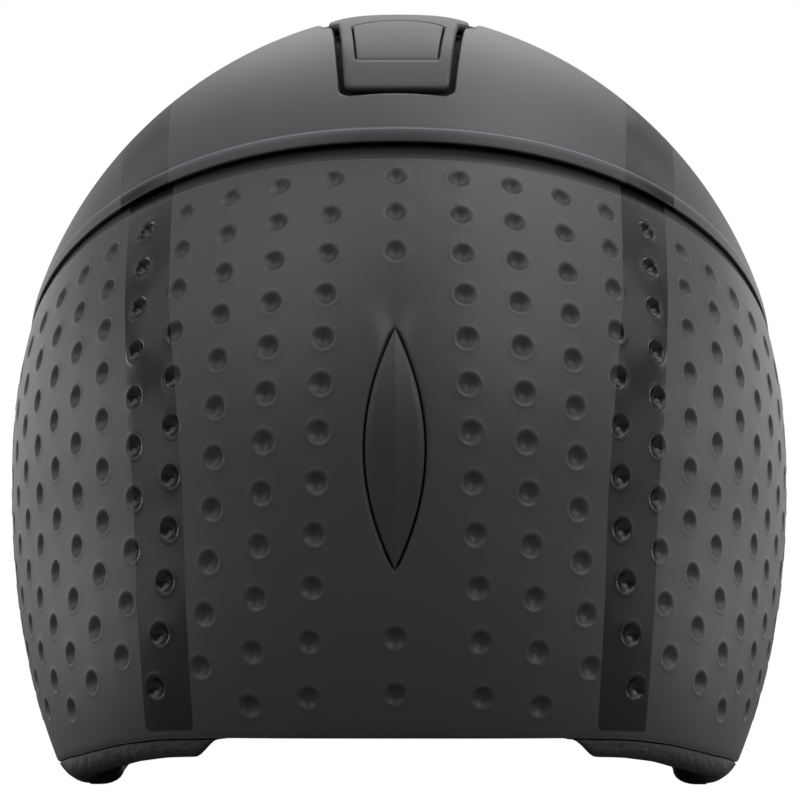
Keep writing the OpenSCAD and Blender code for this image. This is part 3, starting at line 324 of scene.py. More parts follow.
def applied(ob, kind, **values):
    """Adds a modifier, applies it, and leaves plain mesh."""
    mod = ob.modifiers.new("step", kind)
    for k, v in values.items():
        setattr(mod, k, v)
    return flattened(ob, mod)


def shaped(ob, tree, values):
    """Runs a Geometry Nodes tree on a piece, and leaves plain mesh."""
    mod = ob.modifiers.new("step", "NODES")
    mod.node_group = tree
    for socket in tree.interface.items_tree:
        if socket.in_out == "INPUT" and socket.name in values:
            mod[socket.identifier] = values[socket.name]
    return flattened(ob, mod)


# dimples
def dimple_centres():
    """Dimples of each row, walked at an even spacing along a plane that slopes down forwards."""
    centres = []
    for k in range(DIMPLE_ROWS):
        high = ROW_TOP - ROW_DROP * k - DROP_GROWTH * k * (k - 1) / 2
        slope = math.tan(math.radians(ROW_SLOPE + SLOPE_GROWTH * k * k))
        z0 = high + slope * float(skin_th(0.0, np.array(high), TAIL)[1])

        def row(th):
            lo, hi = 0.0, 214.0
            for _ in range(18):
                mid = (lo + hi) / 2
                if mid > z0 - slope * float(skin_th(th, np.array(mid), TAIL)[1]):
                    hi = mid
                else:
                    lo = mid
            return skin_th(th, np.array((lo + hi) / 2), TAIL)

        def rate(th):
            return np.linalg.norm(row(th + 0.3) - row(th - 0.3)) / 0.6

        # the insert takes the place of the middle dimples
        if high > LENS_HIGH + 18 or high < LENS_LOW - 12:
            centres.append(row(0.0))
        wide = (HALF_WIDTH - TAIL[0]) * float(level_shrink(np.array(high), RISE - TAIL[2]))
        x = (COLUMN_GAP + GAP_GROWTH * k) / wide
        th = math.degrees(math.asin(x ** (float(plan_exp(np.array(high))) / 2)))
        pitch = DIMPLE_PITCH + PITCH_GROWTH * k
        for _ in range(15):
            p = row(th)
            if p[1] > DIMPLE_FRONT or p[2] < np.interp(p[1], *zip(*SOLID_RIM)) + DIMPLE_MARGIN:
                break
            centres += [p, p * (-1, 1, 1)]
            th += pitch / rate(th + pitch / rate(th) / 2)
    return np.array(centres)


DIMPLES = dimple_centres()


def dimple_tree():
    """Presses a round pit inside a low raised ring into an outer face, at each point of another object."""
    tree = ShapeTree("dimple_press", {"Centres": "Object", "Pit Radius": "Float", "Pit Depth": "Float",
                                      "Softness": "Float", "Ring Height": "Float", "Ring Radius": "Float",
                                      "Ring Width": "Float"})
    given = tree.given
    centres = tree.node("GeometryNodeObjectInfo", {"Object": given["Centres"]}).outputs["Geometry"]
    place = tree.named("skin_place", "FLOAT_VECTOR")
    near = tree.node("GeometryNodeProximity", {"Geometry": centres, "Sample Position": place},
                     target_element="POINTS").outputs["Distance"]
    away = tree.math("MULTIPLY", near, 1000.0)
    share = tree.math("DIVIDE", away, given["Pit Radius"])
    bowl = tree.math("SUBTRACT", 1.0, tree.math("MULTIPLY", share, share))
    bowl = tree.math("MULTIPLY", given["Pit Depth"], bowl)
    # a soft maximum of the bowl and nought
    soft = tree.math("EXPONENT", tree.math("DIVIDE", bowl, given["Softness"]))
    pit = tree.math("LOGARITHM", tree.math("ADD", 1.0, soft), math.e)
    pit = tree.math("MULTIPLY", given["Softness"], pit)
    ring = tree.bell(tree.math("SUBTRACT", away, given["Ring Radius"]), given["Ring Width"])
    deep = tree.math("SUBTRACT", pit, tree.math("MULTIPLY", ring, given["Ring Height"]))
    deep = tree.math("MULTIPLY", deep, tree.named("outer_face", "FLOAT"))
    return tree.close(tree.pressed(given["Geometry"], tree.named("outward", "FLOAT_VECTOR"), deep))


# tail shell
def lens_half(z):
    half = (LENS_HIGH - LENS_LOW) / 2
    return np.clip(LENS_HALF * (1 - ((z - LENS_MIDDLE) / half) ** 2), 0, None)


def dent(p):
    """Hollow 1.5 mm deep at the upper tip of the insert, fading over 13 mm above it and 7 mm below."""
    up = p[:, 2] - LENS_HIGH
    wide = 3.0 + np.clip(up, 0, 30) * 0.45
    along = np.where(up > 0, np.exp(-(up / 13) ** 2), np.exp(-(up / 7) ** 2))
    return np.where(p[:, 1] < 0, 1.5 * along * np.exp(-(p[:, 0] / wide) ** 2), 0)


ARC_PHI = np.linspace(-2.4, 2.4, 3001)
ARC_MM = np.concatenate([[0], np.cumsum(np.linalg.norm(np.diff(skin(ARC_PHI, WIDEST_Z), axis=0), axis=1))])
ARC_MM = ARC_MM - ARC_MM[1500]


def arc(phi):
    """Distance round the widest level to compass angle phi."""
    return np.interp(phi, ARC_PHI, ARC_MM)


def tail_lift(u, z, drop, outer):
    """Point of the tail shell at distance u round the helmet, drop mm below its outer face."""
    phi = np.interp(u, ARC_MM, ARC_PHI)
    p = skin(phi, z, TAIL)
    deep = drop + dent(p) if outer else drop
    return p - skin_normal(phi, z, TAIL) * deep[:, None]


def tail_marks(u, z, outer):
    """What the dimples are pressed by: place on the skin, its normal, and 1 on the outer face."""
    phi = np.interp(u, ARC_MM, ARC_PHI)
    return {"skin_place": placed(skin(phi, z, TAIL)), "outward": skin_normal(phi, z, TAIL),
            "outer_face": np.full(len(u), float(outer))}


def dimple_rings():
    """Points in rings round each dimple, as (distance round, height)."""
    rings = [(0.6, 6), (1.5, 10), (2.5, 14), (3.2, 14), (4.0, 12)]
    rings = [(0.5, 8), (1.05, 12), (1.6, 16), (2.1, 20), (2.5, 22), (2.8, 24), (3.1, 24), (3.5, 24),
             (4.0, 22), (4.7, 18)]
    out = []
    for c in DIMPLES:
        f = math.atan2(c[0], -c[1])
        n = skin_normal(np.array([f]), np.array([c[2]]), TAIL)[0]
        s = unit(np.cross((0, 0, 1), n))
        t = np.cross(n, s)
        for k, (r, count) in enumerate(rings):
            a = (np.arange(count) + 0.5 * (k % 2)) * 2 * math.pi / count
            q = c + r * (np.cos(a)[:, None] * s + np.sin(a)[:, None] * t)
            out.append(np.stack([arc(np.arctan2(q[:, 0], -q[:, 1])), q[:, 2]], -1))
        out.append(np.array([[float(arc(f)), c[2]]]))
    return np.concatenate(out)


def tail_shell():
    """The dimpled shell: a plate laid on the skin, with a hole for the insert."""
    turns = np.linspace(1.6, 2.27, 168)
    tall = meet(turns, TAIL, plane(TAIL_TOP)) - meet(turns, TAIL, rim) > 3
    top_phi = float(turns[tall].max())
    phi = np.linspace(-top_phi, top_phi, 480)
    low, high = meet(phi, TAIL, rim), meet(phi, TAIL, plane(TAIL_TOP))
    loop = np.concatenate([np.stack([arc(phi), low], -1), np.stack([arc(phi), high], -1)[::-1]])
    z = np.linspace(LENS_LOW - 0.2, LENS_HIGH + 0.2, 46)[1:-1]
    half = lens_half(z) + 0.5 * np.minimum(1, 0.2 + lens_half(z))
    side = arc(np.arcsin(half / np.linalg.norm(skin(np.zeros(len(z)), z, TAIL)[:, :2], axis=1)))
    hole = np.concatenate([[[0, LENS_LOW - 0.5]], np.stack([side, z], -1),
                           [[0, LENS_HIGH + 0.5]], np.stack([-side, z], -1)[::-1]])
    ob = plate("tail_shell", loop, [hole], tail_lift, WALL, 1.2, 2.2, 7.0,
               dimple_rings(), tail_marks)
    centres = linked(bpy.data.objects.new("dimple_centres", bpy.data.meshes.new("dimple_centres")))
    centres.data.from_pydata(placed(DIMPLES).tolist(), [], [])
    shaped(ob, dimple_tree(), {"Centres": centres, "Pit Radius": PIT_RADIUS, "Pit Depth": PIT_DEPTH,
                               "Softness": PIT_SOFT, "Ring Height": RING_HEIGHT, "Ring Radius": RING_RADIUS,
                               "Ring Width": RING_WIDTH, "Finish": MATS["shell"]})
    bpy.data.objects.remove(centres)
    for mark in ("skin_place", "outward", "outer_face"):
        ob.data.attributes.remove(ob.data.attributes[mark])
    return ob


def tail_flange():
    """Strip at the bottom of the gap between the tail shell and the lip, sloping out to its top."""
    phi = np.linspace(-2.2, 2.2, 361)
    foot, top = np.array((1.7, 5.4, 5.4)), np.array((0.95, 4.72, 4.72))
    low = meet(phi, foot, plane(TAIL_TOP)) - 2.5
    high = np.maximum(meet(phi, top, plane(LIP)) + 0.4, low + 0.4)
    rows = [skin(phi, low + (high - low) * k, foot + (top - foot) * k + deep)
            for k, deep in ((0, 0), (0.5, 0), (1, 0), (1, 0.45), (0, 0.45))]
    return lofted("tail_flange", rows + rows[:1])


# port outlines in plan
def rounded(poly, r, n=7):
    """Polygon with its corners rounded to radius r."""
    out = []
    p = [np.array(q, float) for q in poly]
    for i, b in enumerate(p):
        a, c = p[i - 1], p[(i + 1) % len(p)]
        u, v = unit(a - b), unit(c - b)
        half = math.acos(np.clip(u @ v, -1, 1)) / 2
        cut = min(r / math.tan(half), 0.45 * np.linalg.norm(a - b), 0.45 * np.linalg.norm(c - b))
        radius = cut * math.tan(half)
        centre = b + unit(u + v) * radius / math.sin(half)
        start, end = b + u * cut - centre, b + v * cut - centre
        a0 = math.atan2(start[1], start[0])
        turn = (math.atan2(end[1], end[0]) - a0 + math.pi) % (2 * math.pi) - math.pi
        out += [centre + radius * np.array([math.cos(a0 + turn * t), math.sin(a0 + turn * t)])
                for t in np.linspace(0, 1, n)]
    return np.array(out)


def dense(loop, step):
    """Closed outline with its long sides divided."""
    out = []
    for a, b in zip(loop, np.roll(loop, -1, 0)):
        n = max(1, int(np.linalg.norm(b - a) / step))
        out += [a + (b - a) * t / n for t in range(n)]
    return np.array(out)


def grown(loop, d):
    """Outline moved outwards by d, for a loop that runs counter-clockwise."""
    e = np.roll(loop, -1, 0) - np.roll(loop, 1, 0)
    n = unit(np.stack([e[:, 1], -e[:, 0]], -1))
    return loop + n * d


PORT = [[-14.2, PORT_REAR], [14.2, PORT_REAR], [17.2, -34], [20.2, -30], [20.2, 4], [-20.2, 4],
        [-20.2, -30], [-17.2, -34]]
PORT_LOOP = dense(rounded(PORT, 3.0), 1.2)
TIP, SIDE = PORT_REAR + 57, PORT_REAR + 50
TIP_R = (DOOR_HALF ** 2 + (TIP - SIDE) ** 2) / 2 / (TIP - SIDE)
DOOR_BACK = -78.62
TIP_TURN = math.asin(DOOR_HALF / TIP_R)
DOOR = [[-DOOR_HALF + 1.6, DOOR_BACK], [DOOR_HALF - 1.6, DOOR_BACK], [DOOR_HALF, SIDE]]
DOOR += [[TIP_R * math.sin(a), TIP - TIP_R + TIP_R * math.cos(a)]
         for a in np.linspace(TIP_TURN, -TIP_TURN, 17)[1:-1]]
DOOR += [[-DOOR_HALF, SIDE]]
DOOR_LOOP = dense(rounded(DOOR, 0.8, 5), 1.0)


def port_z(x, y):
    """Height of the port: an arc along y that crowns across x towards the front."""
    near = eased(np.clip((y + 80) / 30, 0, 1))
    fall = 0.6 + 0.00246 * x ** 2 + 8.84e-6 * x ** 4
    return PORT_Z + np.sqrt(PORT_R ** 2 - (y - PORT_Y) ** 2) - near * fall


def port_normal(x, y, e=0.05):
    dx = port_z(x + e, y) - port_z(x - e, y)
    dy = port_z(x, y + e) - port_z(x, y - e)
    return unit(np.stack([-dx, -dy, np.full_like(dx, 2 * e)], -1))


def inside(loop, p):
    x, y = p[:, 0], p[:, 1]
    hit = np.zeros(len(p), bool)
    for (x0, y0), (x1, y1) in zip(loop, np.roll(loop, -1, 0)):
        if y0 != y1:
            hit ^= ((y0 > y) != (y1 > y)) & (x < (x1 - x0) * (y - y0) / (y1 - y0) + x0)
    return hit


def region(loop, holes, rings, step, extra=()):
    """Points, distances in from the edges and triangles of an outline with holes."""
    pts, deep, fixed = [], [], []
    for k, line in enumerate([loop, *holes]):
        for d in rings:
            ring = grown(line, -d if k == 0 else d)
            first = len(pts)
            pts += ring.tolist()
            deep += [d] * len(ring)
            fixed += [(first + i, first + (i + 1) % len(ring)) for i in range(len(ring))]
    lo, hi = loop.min(0), loop.max(0)
    gx, gy = np.meshgrid(np.arange(lo[0], hi[0], step), np.arange(lo[1], hi[1], step * 0.87))
    gx = gx + step / 2 * (np.arange(gx.shape[0]) % 2)[:, None]
    inner = np.stack([gx.ravel(), gy.ravel()], -1)
    room = 0.4 * step
    if len(extra):
        near = skin(np.interp(inner[:, 0], ARC_MM, ARC_PHI), inner[:, 1], TAIL)
        gap = np.concatenate([np.sqrt(((q[:, None] - DIMPLES[None]) ** 2).sum(-1).min(1))
                              for q in np.array_split(near, 12)])
        inner = np.concatenate([inner[gap > DIMPLE_CLEAR + room], extra])
        room = 0.3
    keep = inside(grown(loop, -rings[-1] - room), inner)
    for h in holes:
        keep &= ~inside(grown(h, rings[-1] + room), inner)
    pts += inner[keep].tolist()
    deep += [9.0] * int(keep.sum())
    v2, _, tris, orig, _, _ = geometry.delaunay_2d_cdt([Vector(p) for p in pts], fixed, [], 0, 1e-5)
    v2 = np.array([tuple(v) for v in v2])
    deep = np.array([deep[o[0]] if o else rings[-1] for o in orig])
    tris = np.array([t for t in tris if len(t) == 3])
    mid = v2[tris].mean(1)
    ok = inside(loop, mid)
    for h in holes:
        ok &= ~inside(h, mid)
    tris = tris[ok]
    p, q, r = (v2[tris[:, i]] for i in range(3))
    area = (q[:, 0] - p[:, 0]) * (r[:, 1] - p[:, 1]) - (q[:, 1] - p[:, 1]) * (r[:, 0] - p[:, 0])
    tris[area < 0] = tris[area < 0][:, ::-1]
    return v2, deep, tris


def plate(name, loop, holes, lift, depth, edge, step=1.3, back=1.3, extra=(), marks=None):
    """Plate with rounded outer edges: outlines in plan, and lift(u, v, drop, outer) giving its points."""
    v, d, front = region(loop, holes, [t * edge for t in (0, 0.1, 0.3, 0.6, 1.0)], step, extra)
    w, _, rear = region(loop, holes, [0.0], back)
    parts = [(v, roll(d, edge), True), (w, np.full(len(w), depth), False)]
    faces = front.tolist() + (rear[:, ::-1] + len(v)).tolist()
    base = len(v) + len(w)
    for k, line in enumerate([loop, *holes]):
        n = len(line)
        parts += [(line, np.full(n, edge), True), (line, np.full(n, depth), False)]
        wall = [[base + i, base + n + i, base + n + (i + 1) % n, base + (i + 1) % n] for i in range(n)]
        faces += wall if k == 0 else [f[::-1] for f in wall]
        base += 2 * n
    points = np.concatenate([lift(q[:, 0], q[:, 1], drop, outer) for q, drop, outer in parts])
    held = {}
    if marks:
        each = [marks(q[:, 0], q[:, 1], outer) for q, _, outer in parts]
        held = {mark: np.concatenate([m[mark] for m in each]) for mark in each[0]}
    return mesh_object(name, points, faces, 0.004, held)


def port_lift(x, y, drop, outer):
    p = np.stack([x, y, port_z(x, y)], -1)
    return p - port_normal(x, y) * drop[:, None]


def round_hinge(p, radius, outside):
    """Keep points behind the lid's hinge line outside, or inside, a barrel of this radius."""
    turn = math.asin((PORT_Y - HINGE[0]) / (PORT_R - BARREL))
    up = np.array((-math.sin(turn), math.cos(turn)))
    back = np.array((-math.cos(turn), -math.sin(turn)))
    q = p[:, 1:] - HINGE
    s, h = q @ back, q @ up
    reach = np.sqrt(np.maximum(radius ** 2 - (h if outside else s) ** 2, 0))
    if outside:
        s = np.where((s > -0.6) & (s < reach) & (np.abs(p[:, 0]) < DOOR_HALF - 1.3), reach, s)
    else:
        h = np.where(s > 0, np.minimum(h, reach), h)
    return np.concatenate([p[:, :1], HINGE + s[:, None] * back + h[:, None] * up], -1)


def lid_lift(x, y, drop, outer):
    return round_hinge(port_lift(x, y, drop, outer), BARREL, False)


def bezel_lift(x, y, drop, outer):
    return round_hinge(port_lift(x, y, drop, outer), BARREL + BARREL_GAP, True)


# front shell
def front_shell():
    """The lipped shell: rows from the lip up to the port's hole on the outer face, and back down inside."""
    hole = grown(PORT_LOOP, 1.4)
    ang = np.arctan2(hole[:, 0], -hole[:, 1])
    phi = np.concatenate([np.linspace(-math.pi, math.pi, 340)[:-1], ang])
    phi = np.unique(np.round(phi, 5))
    phi = phi[np.concatenate([[True], np.diff(phi) > 1e-3])]

    low = meet(phi, (0.44, 2.2, 2.2), lambda y: np.maximum(plane(LIP)(y), rim(y)))
    high = meet(phi, (0, 0, 0), lambda y: np.maximum(plane(CHAMFER)(y), rim(y) + 2))
    # reach of the port hole along each ray
    ray = np.stack([np.sin(phi), -np.cos(phi)], -1)
    reach = np.full(len(phi), 5.0)
    for a, b in zip(hole, np.roll(hole, -1, 0)):
        e = b - a
        den = ray[:, 0] * e[1] - ray[:, 1] * e[0]
        with np.errstate(divide="ignore", invalid="ignore"):
            t = (a[0] * e[1] - a[1] * e[0]) / den
            u = (a[0] * ray[:, 1] - a[1] * ray[:, 0]) / den
        hit = (np.abs(den) > 1e-9) & (u >= -1e-6) & (u <= 1 + 1e-6) & (t > 0)
        reach = np.where(hit, np.maximum(reach, t), reach)
    back = np.where(np.cos(phi) > 0, REAR, FRONT)
    flat = np.abs(np.sin(phi) / HALF_WIDTH) ** PLAN_POWER + np.abs(np.cos(phi) / back) ** PLAN_POWER
    flat = flat ** (-1 / PLAN_POWER)

    def heights(share, up, short):
        """A row's heights: its share of the way up, mm above the start and mm short of the hole."""
        end = np.arccos(np.clip(np.clip((reach + short) / flat, 0, 0.9999) ** (CROWN_ROUND / 2), 0, 1))
        above = np.clip((high + up - WIDEST_Z) / RISE, 0, 1) ** (CROWN_FULL / 2)
        below = np.clip((WIDEST_Z - high - up) / DROP, 0, 1) ** (PLAN_POWER / 2)
        start = np.where(high + up > WIDEST_Z, np.arcsin(above), -np.arcsin(below))
        turn = start + (end - start) * share
        bend = np.sin(np.abs(turn))
        crown, skirt = RISE * bend ** (2 / CROWN_FULL), DROP * bend ** (2 / PLAN_POWER)
        return WIDEST_Z + np.where(turn > 0, crown, -skirt)

    last = 59
    rows = [(0, up, 0) for up in (0, 0.15, 0.4, 0.8)]
    rows += [(share, 0.8, 2.6) for share in np.linspace(0, 1, last + 1)[1:-1]]
    rows += [(1, 0, short) for short in (2.6, 1.9, 1.3, 0.8, 0.4, 0.12, 0)]
    outer, inner = [], []
    for share, up, short in rows:
        z = heights(share, up, short)
        p, n = skin(phi, z), skin_normal(phi, z)
        rolled = {0: float(roll(up, 0.35)), 1: float(roll(short, 2.2))}
        outer.append(p - n * rolled.get(share, 0.0))
        if share in rolled or round(share * last) % 3 == 0:
            inner.append(p - n * WALL)
    # chamfer and underside of the lip, from the inside out
    lip = []
    for t, k in ((0.0, 2.1), (0.0, 1.7), (0.0, 1.35), (0.01, 1.15), (0.035, 1.03), (0.08, 0.94),
                 (0.14, 0.86), (0.5, 0.5), (0.9, 0.09), (0.97, 0.03)):
        lip.append(skin(phi, low + (high - low) * t, (0.44 * k, 2.2 * k, 2.2 * k)))
    grid = lip + outer + inner[::-1]
    return lofted("front_shell_skin", grid + grid[:1], wrap=True)


# tail insert
def insert_piece():
    """Pointed lens with a ridge down its middle and rolled edges."""
    n = 121
    half = (LENS_HIGH - LENS_LOW) / 2
    z = LENS_MIDDLE - half * np.cos(np.linspace(0.03, math.pi - 0.03, n))
    u = np.concatenate([[-1, -0.97, -0.9, -0.8], np.linspace(-0.7, -0.1, 7), [-0.03, 0, 0.03],
                        np.linspace(0.1, 0.7, 7), [0.8, 0.9, 0.97, 1]])
    w = lens_half(z)[:, None]
    y = skin(np.zeros(n), z, TAIL)[:, 1][:, None]
    x = u[None] * w
    crest = RIDGE * np.sqrt(np.clip(w / LENS_HALF, 0, 1))
    a = np.abs(u)[None]
    rise = crest * (1 - a) ** 1.15 - 0.5 * np.clip((a - 0.8) / 0.2, 0, 1) ** 2
    z = np.broadcast_to(z[:, None], x.shape)
    face = np.stack([x, y - rise, z], -1)
    back = np.stack([x, y + 4.0 + 0 * x, z], -1)
    return lofted("insert", capped(np.concatenate([face, back[:, ::-1]], 1)), wrap=True)


# merged copies of the solids
def copy_of(node, name, bevel=0.0, angle=34):
    """A merged copy of a CAD solid, smooth across gentle edges, with its sharp edges rounded."""
    ob = linked(bpy.data.objects.new(name, NODES[node].data.copy()))
    bm = bmesh.new()
    bm.from_mesh(ob.data)
    bmesh.ops.remove_doubles(bm, verts=bm.verts, dist=2e-5)
    bmesh.ops.dissolve_degenerate(bm, edges=bm.edges, dist=1e-6)
    limit = math.radians(angle)
    if bevel:
        bmesh.ops.dissolve_limit(bm, angle_limit=math.radians(1), verts=bm.verts, edges=bm.edges)
        sharp = [e for e in bm.edges if len(e.link_faces) == 2 and e.calc_face_angle(0) > limit]
        bmesh.ops.bevel(bm, geom=sharp, offset=bevel / 1000, segments=2, profile=0.5, affect="EDGES",
                        clamp_overlap=True)
        bmesh.ops.triangulate(bm, faces=bm.faces)
    for e in bm.edges:
        e.smooth = len(e.link_faces) == 2 and e.calc_face_angle(0) < limit
    for f in bm.faces:
        f.smooth = True
    bm.to_mesh(ob.data)
    bm.free()
    return ob


def coords(mesh):
    co = np.empty(len(mesh.vertices) * 3)
    mesh.vertices.foreach_get("co", co)
    return co.reshape(-1, 3)


def set_coords(mesh, co):
    mesh.vertices.foreach_set("co", np.ascontiguousarray(co, np.float32).ravel())
    mesh.update()


def normals(mesh):
    n = np.empty(len(mesh.vertices) * 3)
    mesh.vertices.foreach_get("normal", n)
    return n.reshape(-1, 3)


# soft pads, each with its voxel in mm, the axis along which its channels follow and their spacing in mm
PADS = {"brow_pad": (2.6, "x", 17.5), "crown_pad": (2.8, "y", 16.0), "rear_pad": (2.4, "x", 15.5),
        "side_pad_left": (2.6, "y", 16.2), "side_pad_right": (2.6, "y", 16.2),
        "cradle_pad": (2.4, "x", 16.0), "chin_pad": (2.2, "y", 12.0)}


def sewing_tree():
    """Sewn channels across a pad at an even spacing, with a seam line in each, stopping short of its ends."""
    tree = ShapeTree("sewn_channels", {"Along": "Vector", "Middle": "Vector", "Half Length": "Float",
                                       "Pitch": "Float", "Depth": "Float", "Channel Width": "Float",
                                       "Seam Width": "Float"})
    given = tree.given
    place = tree.node("GeometryNodeInputPosition").outputs[0]
    place = tree.node("ShaderNodeVectorMath", {0: place, 1: given["Middle"]}, operation="SUBTRACT").outputs[0]
    run = tree.node("ShaderNodeVectorMath", {0: place, 1: given["Along"]}, operation="DOT_PRODUCT")
    run = tree.math("MULTIPLY", run.outputs["Value"], 1000.0)
    half = tree.math("MULTIPLY", given["Pitch"], 0.5)
    near = tree.math("FLOORED_MODULO", tree.math("ADD", run, half), given["Pitch"])
    near = tree.math("SUBTRACT", near, half)
    left = tree.math("SUBTRACT", given["Half Length"], tree.math("ABSOLUTE", run))
    inner = tree.node("ShaderNodeMapRange", {"Value": left, "From Min": 3.0, "From Max": 6.0}).outputs[0]
    seam = tree.math("MULTIPLY", tree.bell(near, given["Seam Width"]), inner)
    deep = tree.math("MULTIPLY", tree.bell(near, given["Channel Width"]), inner)
    marked = tree.node("GeometryNodeStoreNamedAttribute", {"Geometry": given["Geometry"], "Name": "seam",
                                                           "Value": seam}, data_type="FLOAT", domain="POINT")
    normal = tree.node("GeometryNodeInputNormal").outputs["Normal"]
    return tree.close(tree.pressed(marked.outputs[0], normal, tree.math("MULTIPLY", deep, given["Depth"])))


def soft_pads():
    """Comfort pads: a remeshed copy of each solid, blown up by cloth pressure, then sewn with channels."""
    made = {}
    for node, (voxel, _, _) in PADS.items():
        ob = copy_of(node, node + "_knit")
        applied(ob, "REMESH", mode="VOXEL", voxel_size=voxel / 1000)
        set_coords(ob.data, coords(ob.data) - normals(ob.data) * PAD_SHRINK)
        made[node] = ob
    before = {node: coords(ob.data) for node, ob in made.items()}
    for ob in made.values():
        mod = ob.modifiers.new("puff", "CLOTH")
        mod.settings.quality = PUFF_QUALITY
        mod.settings.use_pressure = True
        mod.settings.uniform_pressure_force = PUFF_PRESSURE
        mod.settings.effector_weights.gravity = 0
        mod.settings.tension_stiffness = mod.settings.compression_stiffness = PUFF_STIFFNESS
        mod.point_cache.frame_start, mod.point_cache.frame_end = 1, PUFF_FRAMES
    for f in range(PUFF_FRAMES):
        bpy.context.scene.frame_set(f + 1)
    graph = bpy.context.evaluated_depsgraph_get()
    for node, ob in made.items():
        puffed = bpy.data.meshes.new_from_object(ob.evaluated_get(graph))
        move = coords(puffed) - before[node]
        far = np.linalg.norm(move, axis=1, keepdims=True)
        move *= np.minimum(1, PUFF_LIMIT / np.maximum(far, 1e-9))
        ob.modifiers.remove(ob.modifiers["puff"])
        set_coords(ob.data, before[node] + move)
        bpy.data.meshes.remove(puffed)
    bpy.context.scene.frame_set(1)
    sewing = sewing_tree()
    for node, ob in made.items():
        applied(ob, "SMOOTH", factor=0.5, iterations=3)
        applied(ob, "SUBSURF", levels=1, render_levels=1)
        _, way, pitch = PADS[node]
        co = coords(ob.data)
        lo, hi = co.min(0), co.max(0)
        shaped(ob, sewing, {"Along": [float(axis == way) for axis in "xyz"],
                            "Middle": ((lo + hi) / 2).tolist(), "Pitch": pitch,
                            "Half Length": float((hi - lo)["xyz".index(way)]) * 500,
                            "Depth": CHANNEL_DEPTH, "Channel Width": CHANNEL_WIDTH, "Seam Width": SEAM_WIDTH,
                            "Finish": MATS["fabric"]})
    return made


# ear edges and foam
def width_at(y, z, inset):
    """Half width of the skin at place y and height z."""
    m, r = plan_exp(z), level_shrink(z, RISE - inset[2])
    reach = np.where(y < 0, REAR, FRONT) - inset[1]
    return (HALF_WIDTH - inset[0]) * r * np.clip(1 - np.abs(y / (reach * r)) ** m, 0, 1) ** (1 / m)


def ear_edge(side):
    """Rolled rubber edge below the ear, lofted along y."""
    ys = np.linspace(*EAR_ENDS, 70)
    rows = []
    for y in ys:
        top = float(rim(y)) - 0.15
        low = min(3.6 * eased(np.clip((-43 - y) / 24, 0, 1)), top - 2)
        t = np.linspace(0, 1, 9)
        a = np.linspace(0, math.pi / 2, 7)
        s = np.concatenate([0.15 + 8.6 * t, [10.2], 11.4 + 6.3 * np.sin(a),
                            [17.7, 17.3, 16.5, 12, 7, 3.9, 3.4, 3.3], [3.3, 2.4]])
        z = np.concatenate([top - (top - low) * t ** 0.74, [low], low + 3.9 * (1 - np.cos(a)),
                            [9.4, 10.1, 10.4, 10.4, 10.4, 10.4, 10.1, 9.6], [top + 0.05, top]])
        end = min(y - ys[0], ys[-1] - y)
        pinch = math.sqrt(max(0.0, 1 - (1 - min(end / 3.5, 1)) ** 2)) * 0.96 + 0.04
        s, z = 9 + (s - 9) * pinch, np.maximum(z, 0) * pinch + (1 - pinch) * 8.5
        x = float(width_at(np.array(y), np.array(top), TAIL)) - s
        rows.append(np.stack([side * x, np.full(len(s), y), z], -1))
    name = "ear_edge_skin_" + ("right" if side > 0 else "left")
    return lofted(name, capped(np.array(rows)), True, side < 0, 0.01)


def foam_band(side):
    """Foam that shows below the shell's rim behind the ear, flush with the shell."""
    phi = np.linspace(0.33, 1.97, 190)
    r = meet(phi, TAIL, rim)
    at = skin(phi, r, TAIL)
    ear = eased(np.clip((at[:, 1] + 88) / 26, 0, 1))
    # profiles at the back and at the ear: depth below the shell's face, height above its rim
    band = np.array([(3.2, 5), (3.2, 0.1), (0.55, -0.1), (0.45, -0.9), (0.45, -1.7), (0.6, -2.6),
                     (0.95, -3.4), (1.5, -4.0), (2.3, -4.5), (3.4, -4.72), (5, -4.75), (8, -4.5),
                     (10.5, -2.6), (13, 0.5), (13, 5)])
    lobe = np.array([(3.2, 5), (3.2, 0.1), (0.3, -0.1), (0.8, -0.9), (1.4, -1.7), (2.2, -2.6),
                     (3.1, -3.4), (4.0, -4.0), (5.1, -4.7), (6.3, -5.2), (7.6, -5.5), (9.8, -5.7),
                     (12.5, -5.4), (14, -3), (14, 5)])
    rows = []
    for (t, drop), (lobe_t, lobe_drop) in zip(band, lobe):
        t = t + (lobe_t - t) * ear
        drop = drop + (lobe_drop - drop) * ear
        # the inset is measured square to the skin in plan
        n = skin_normal(phi, np.full(len(phi), 40.0), TAIL) * (1, 1, 0)
        p = at - unit(n) * t[:, None]
        show = eased(np.clip((p[:, 0] - 46.8) / 6.5, 0.02, 1))
        p[:, 2] = r + np.where(drop < 0, np.maximum(drop * show, 0.6 - r), drop)
        rows.append(p * (side, 1, 1))
    return lofted("band", capped(np.array(rows).transpose(1, 0, 2)), True, side > 0, 0.004)


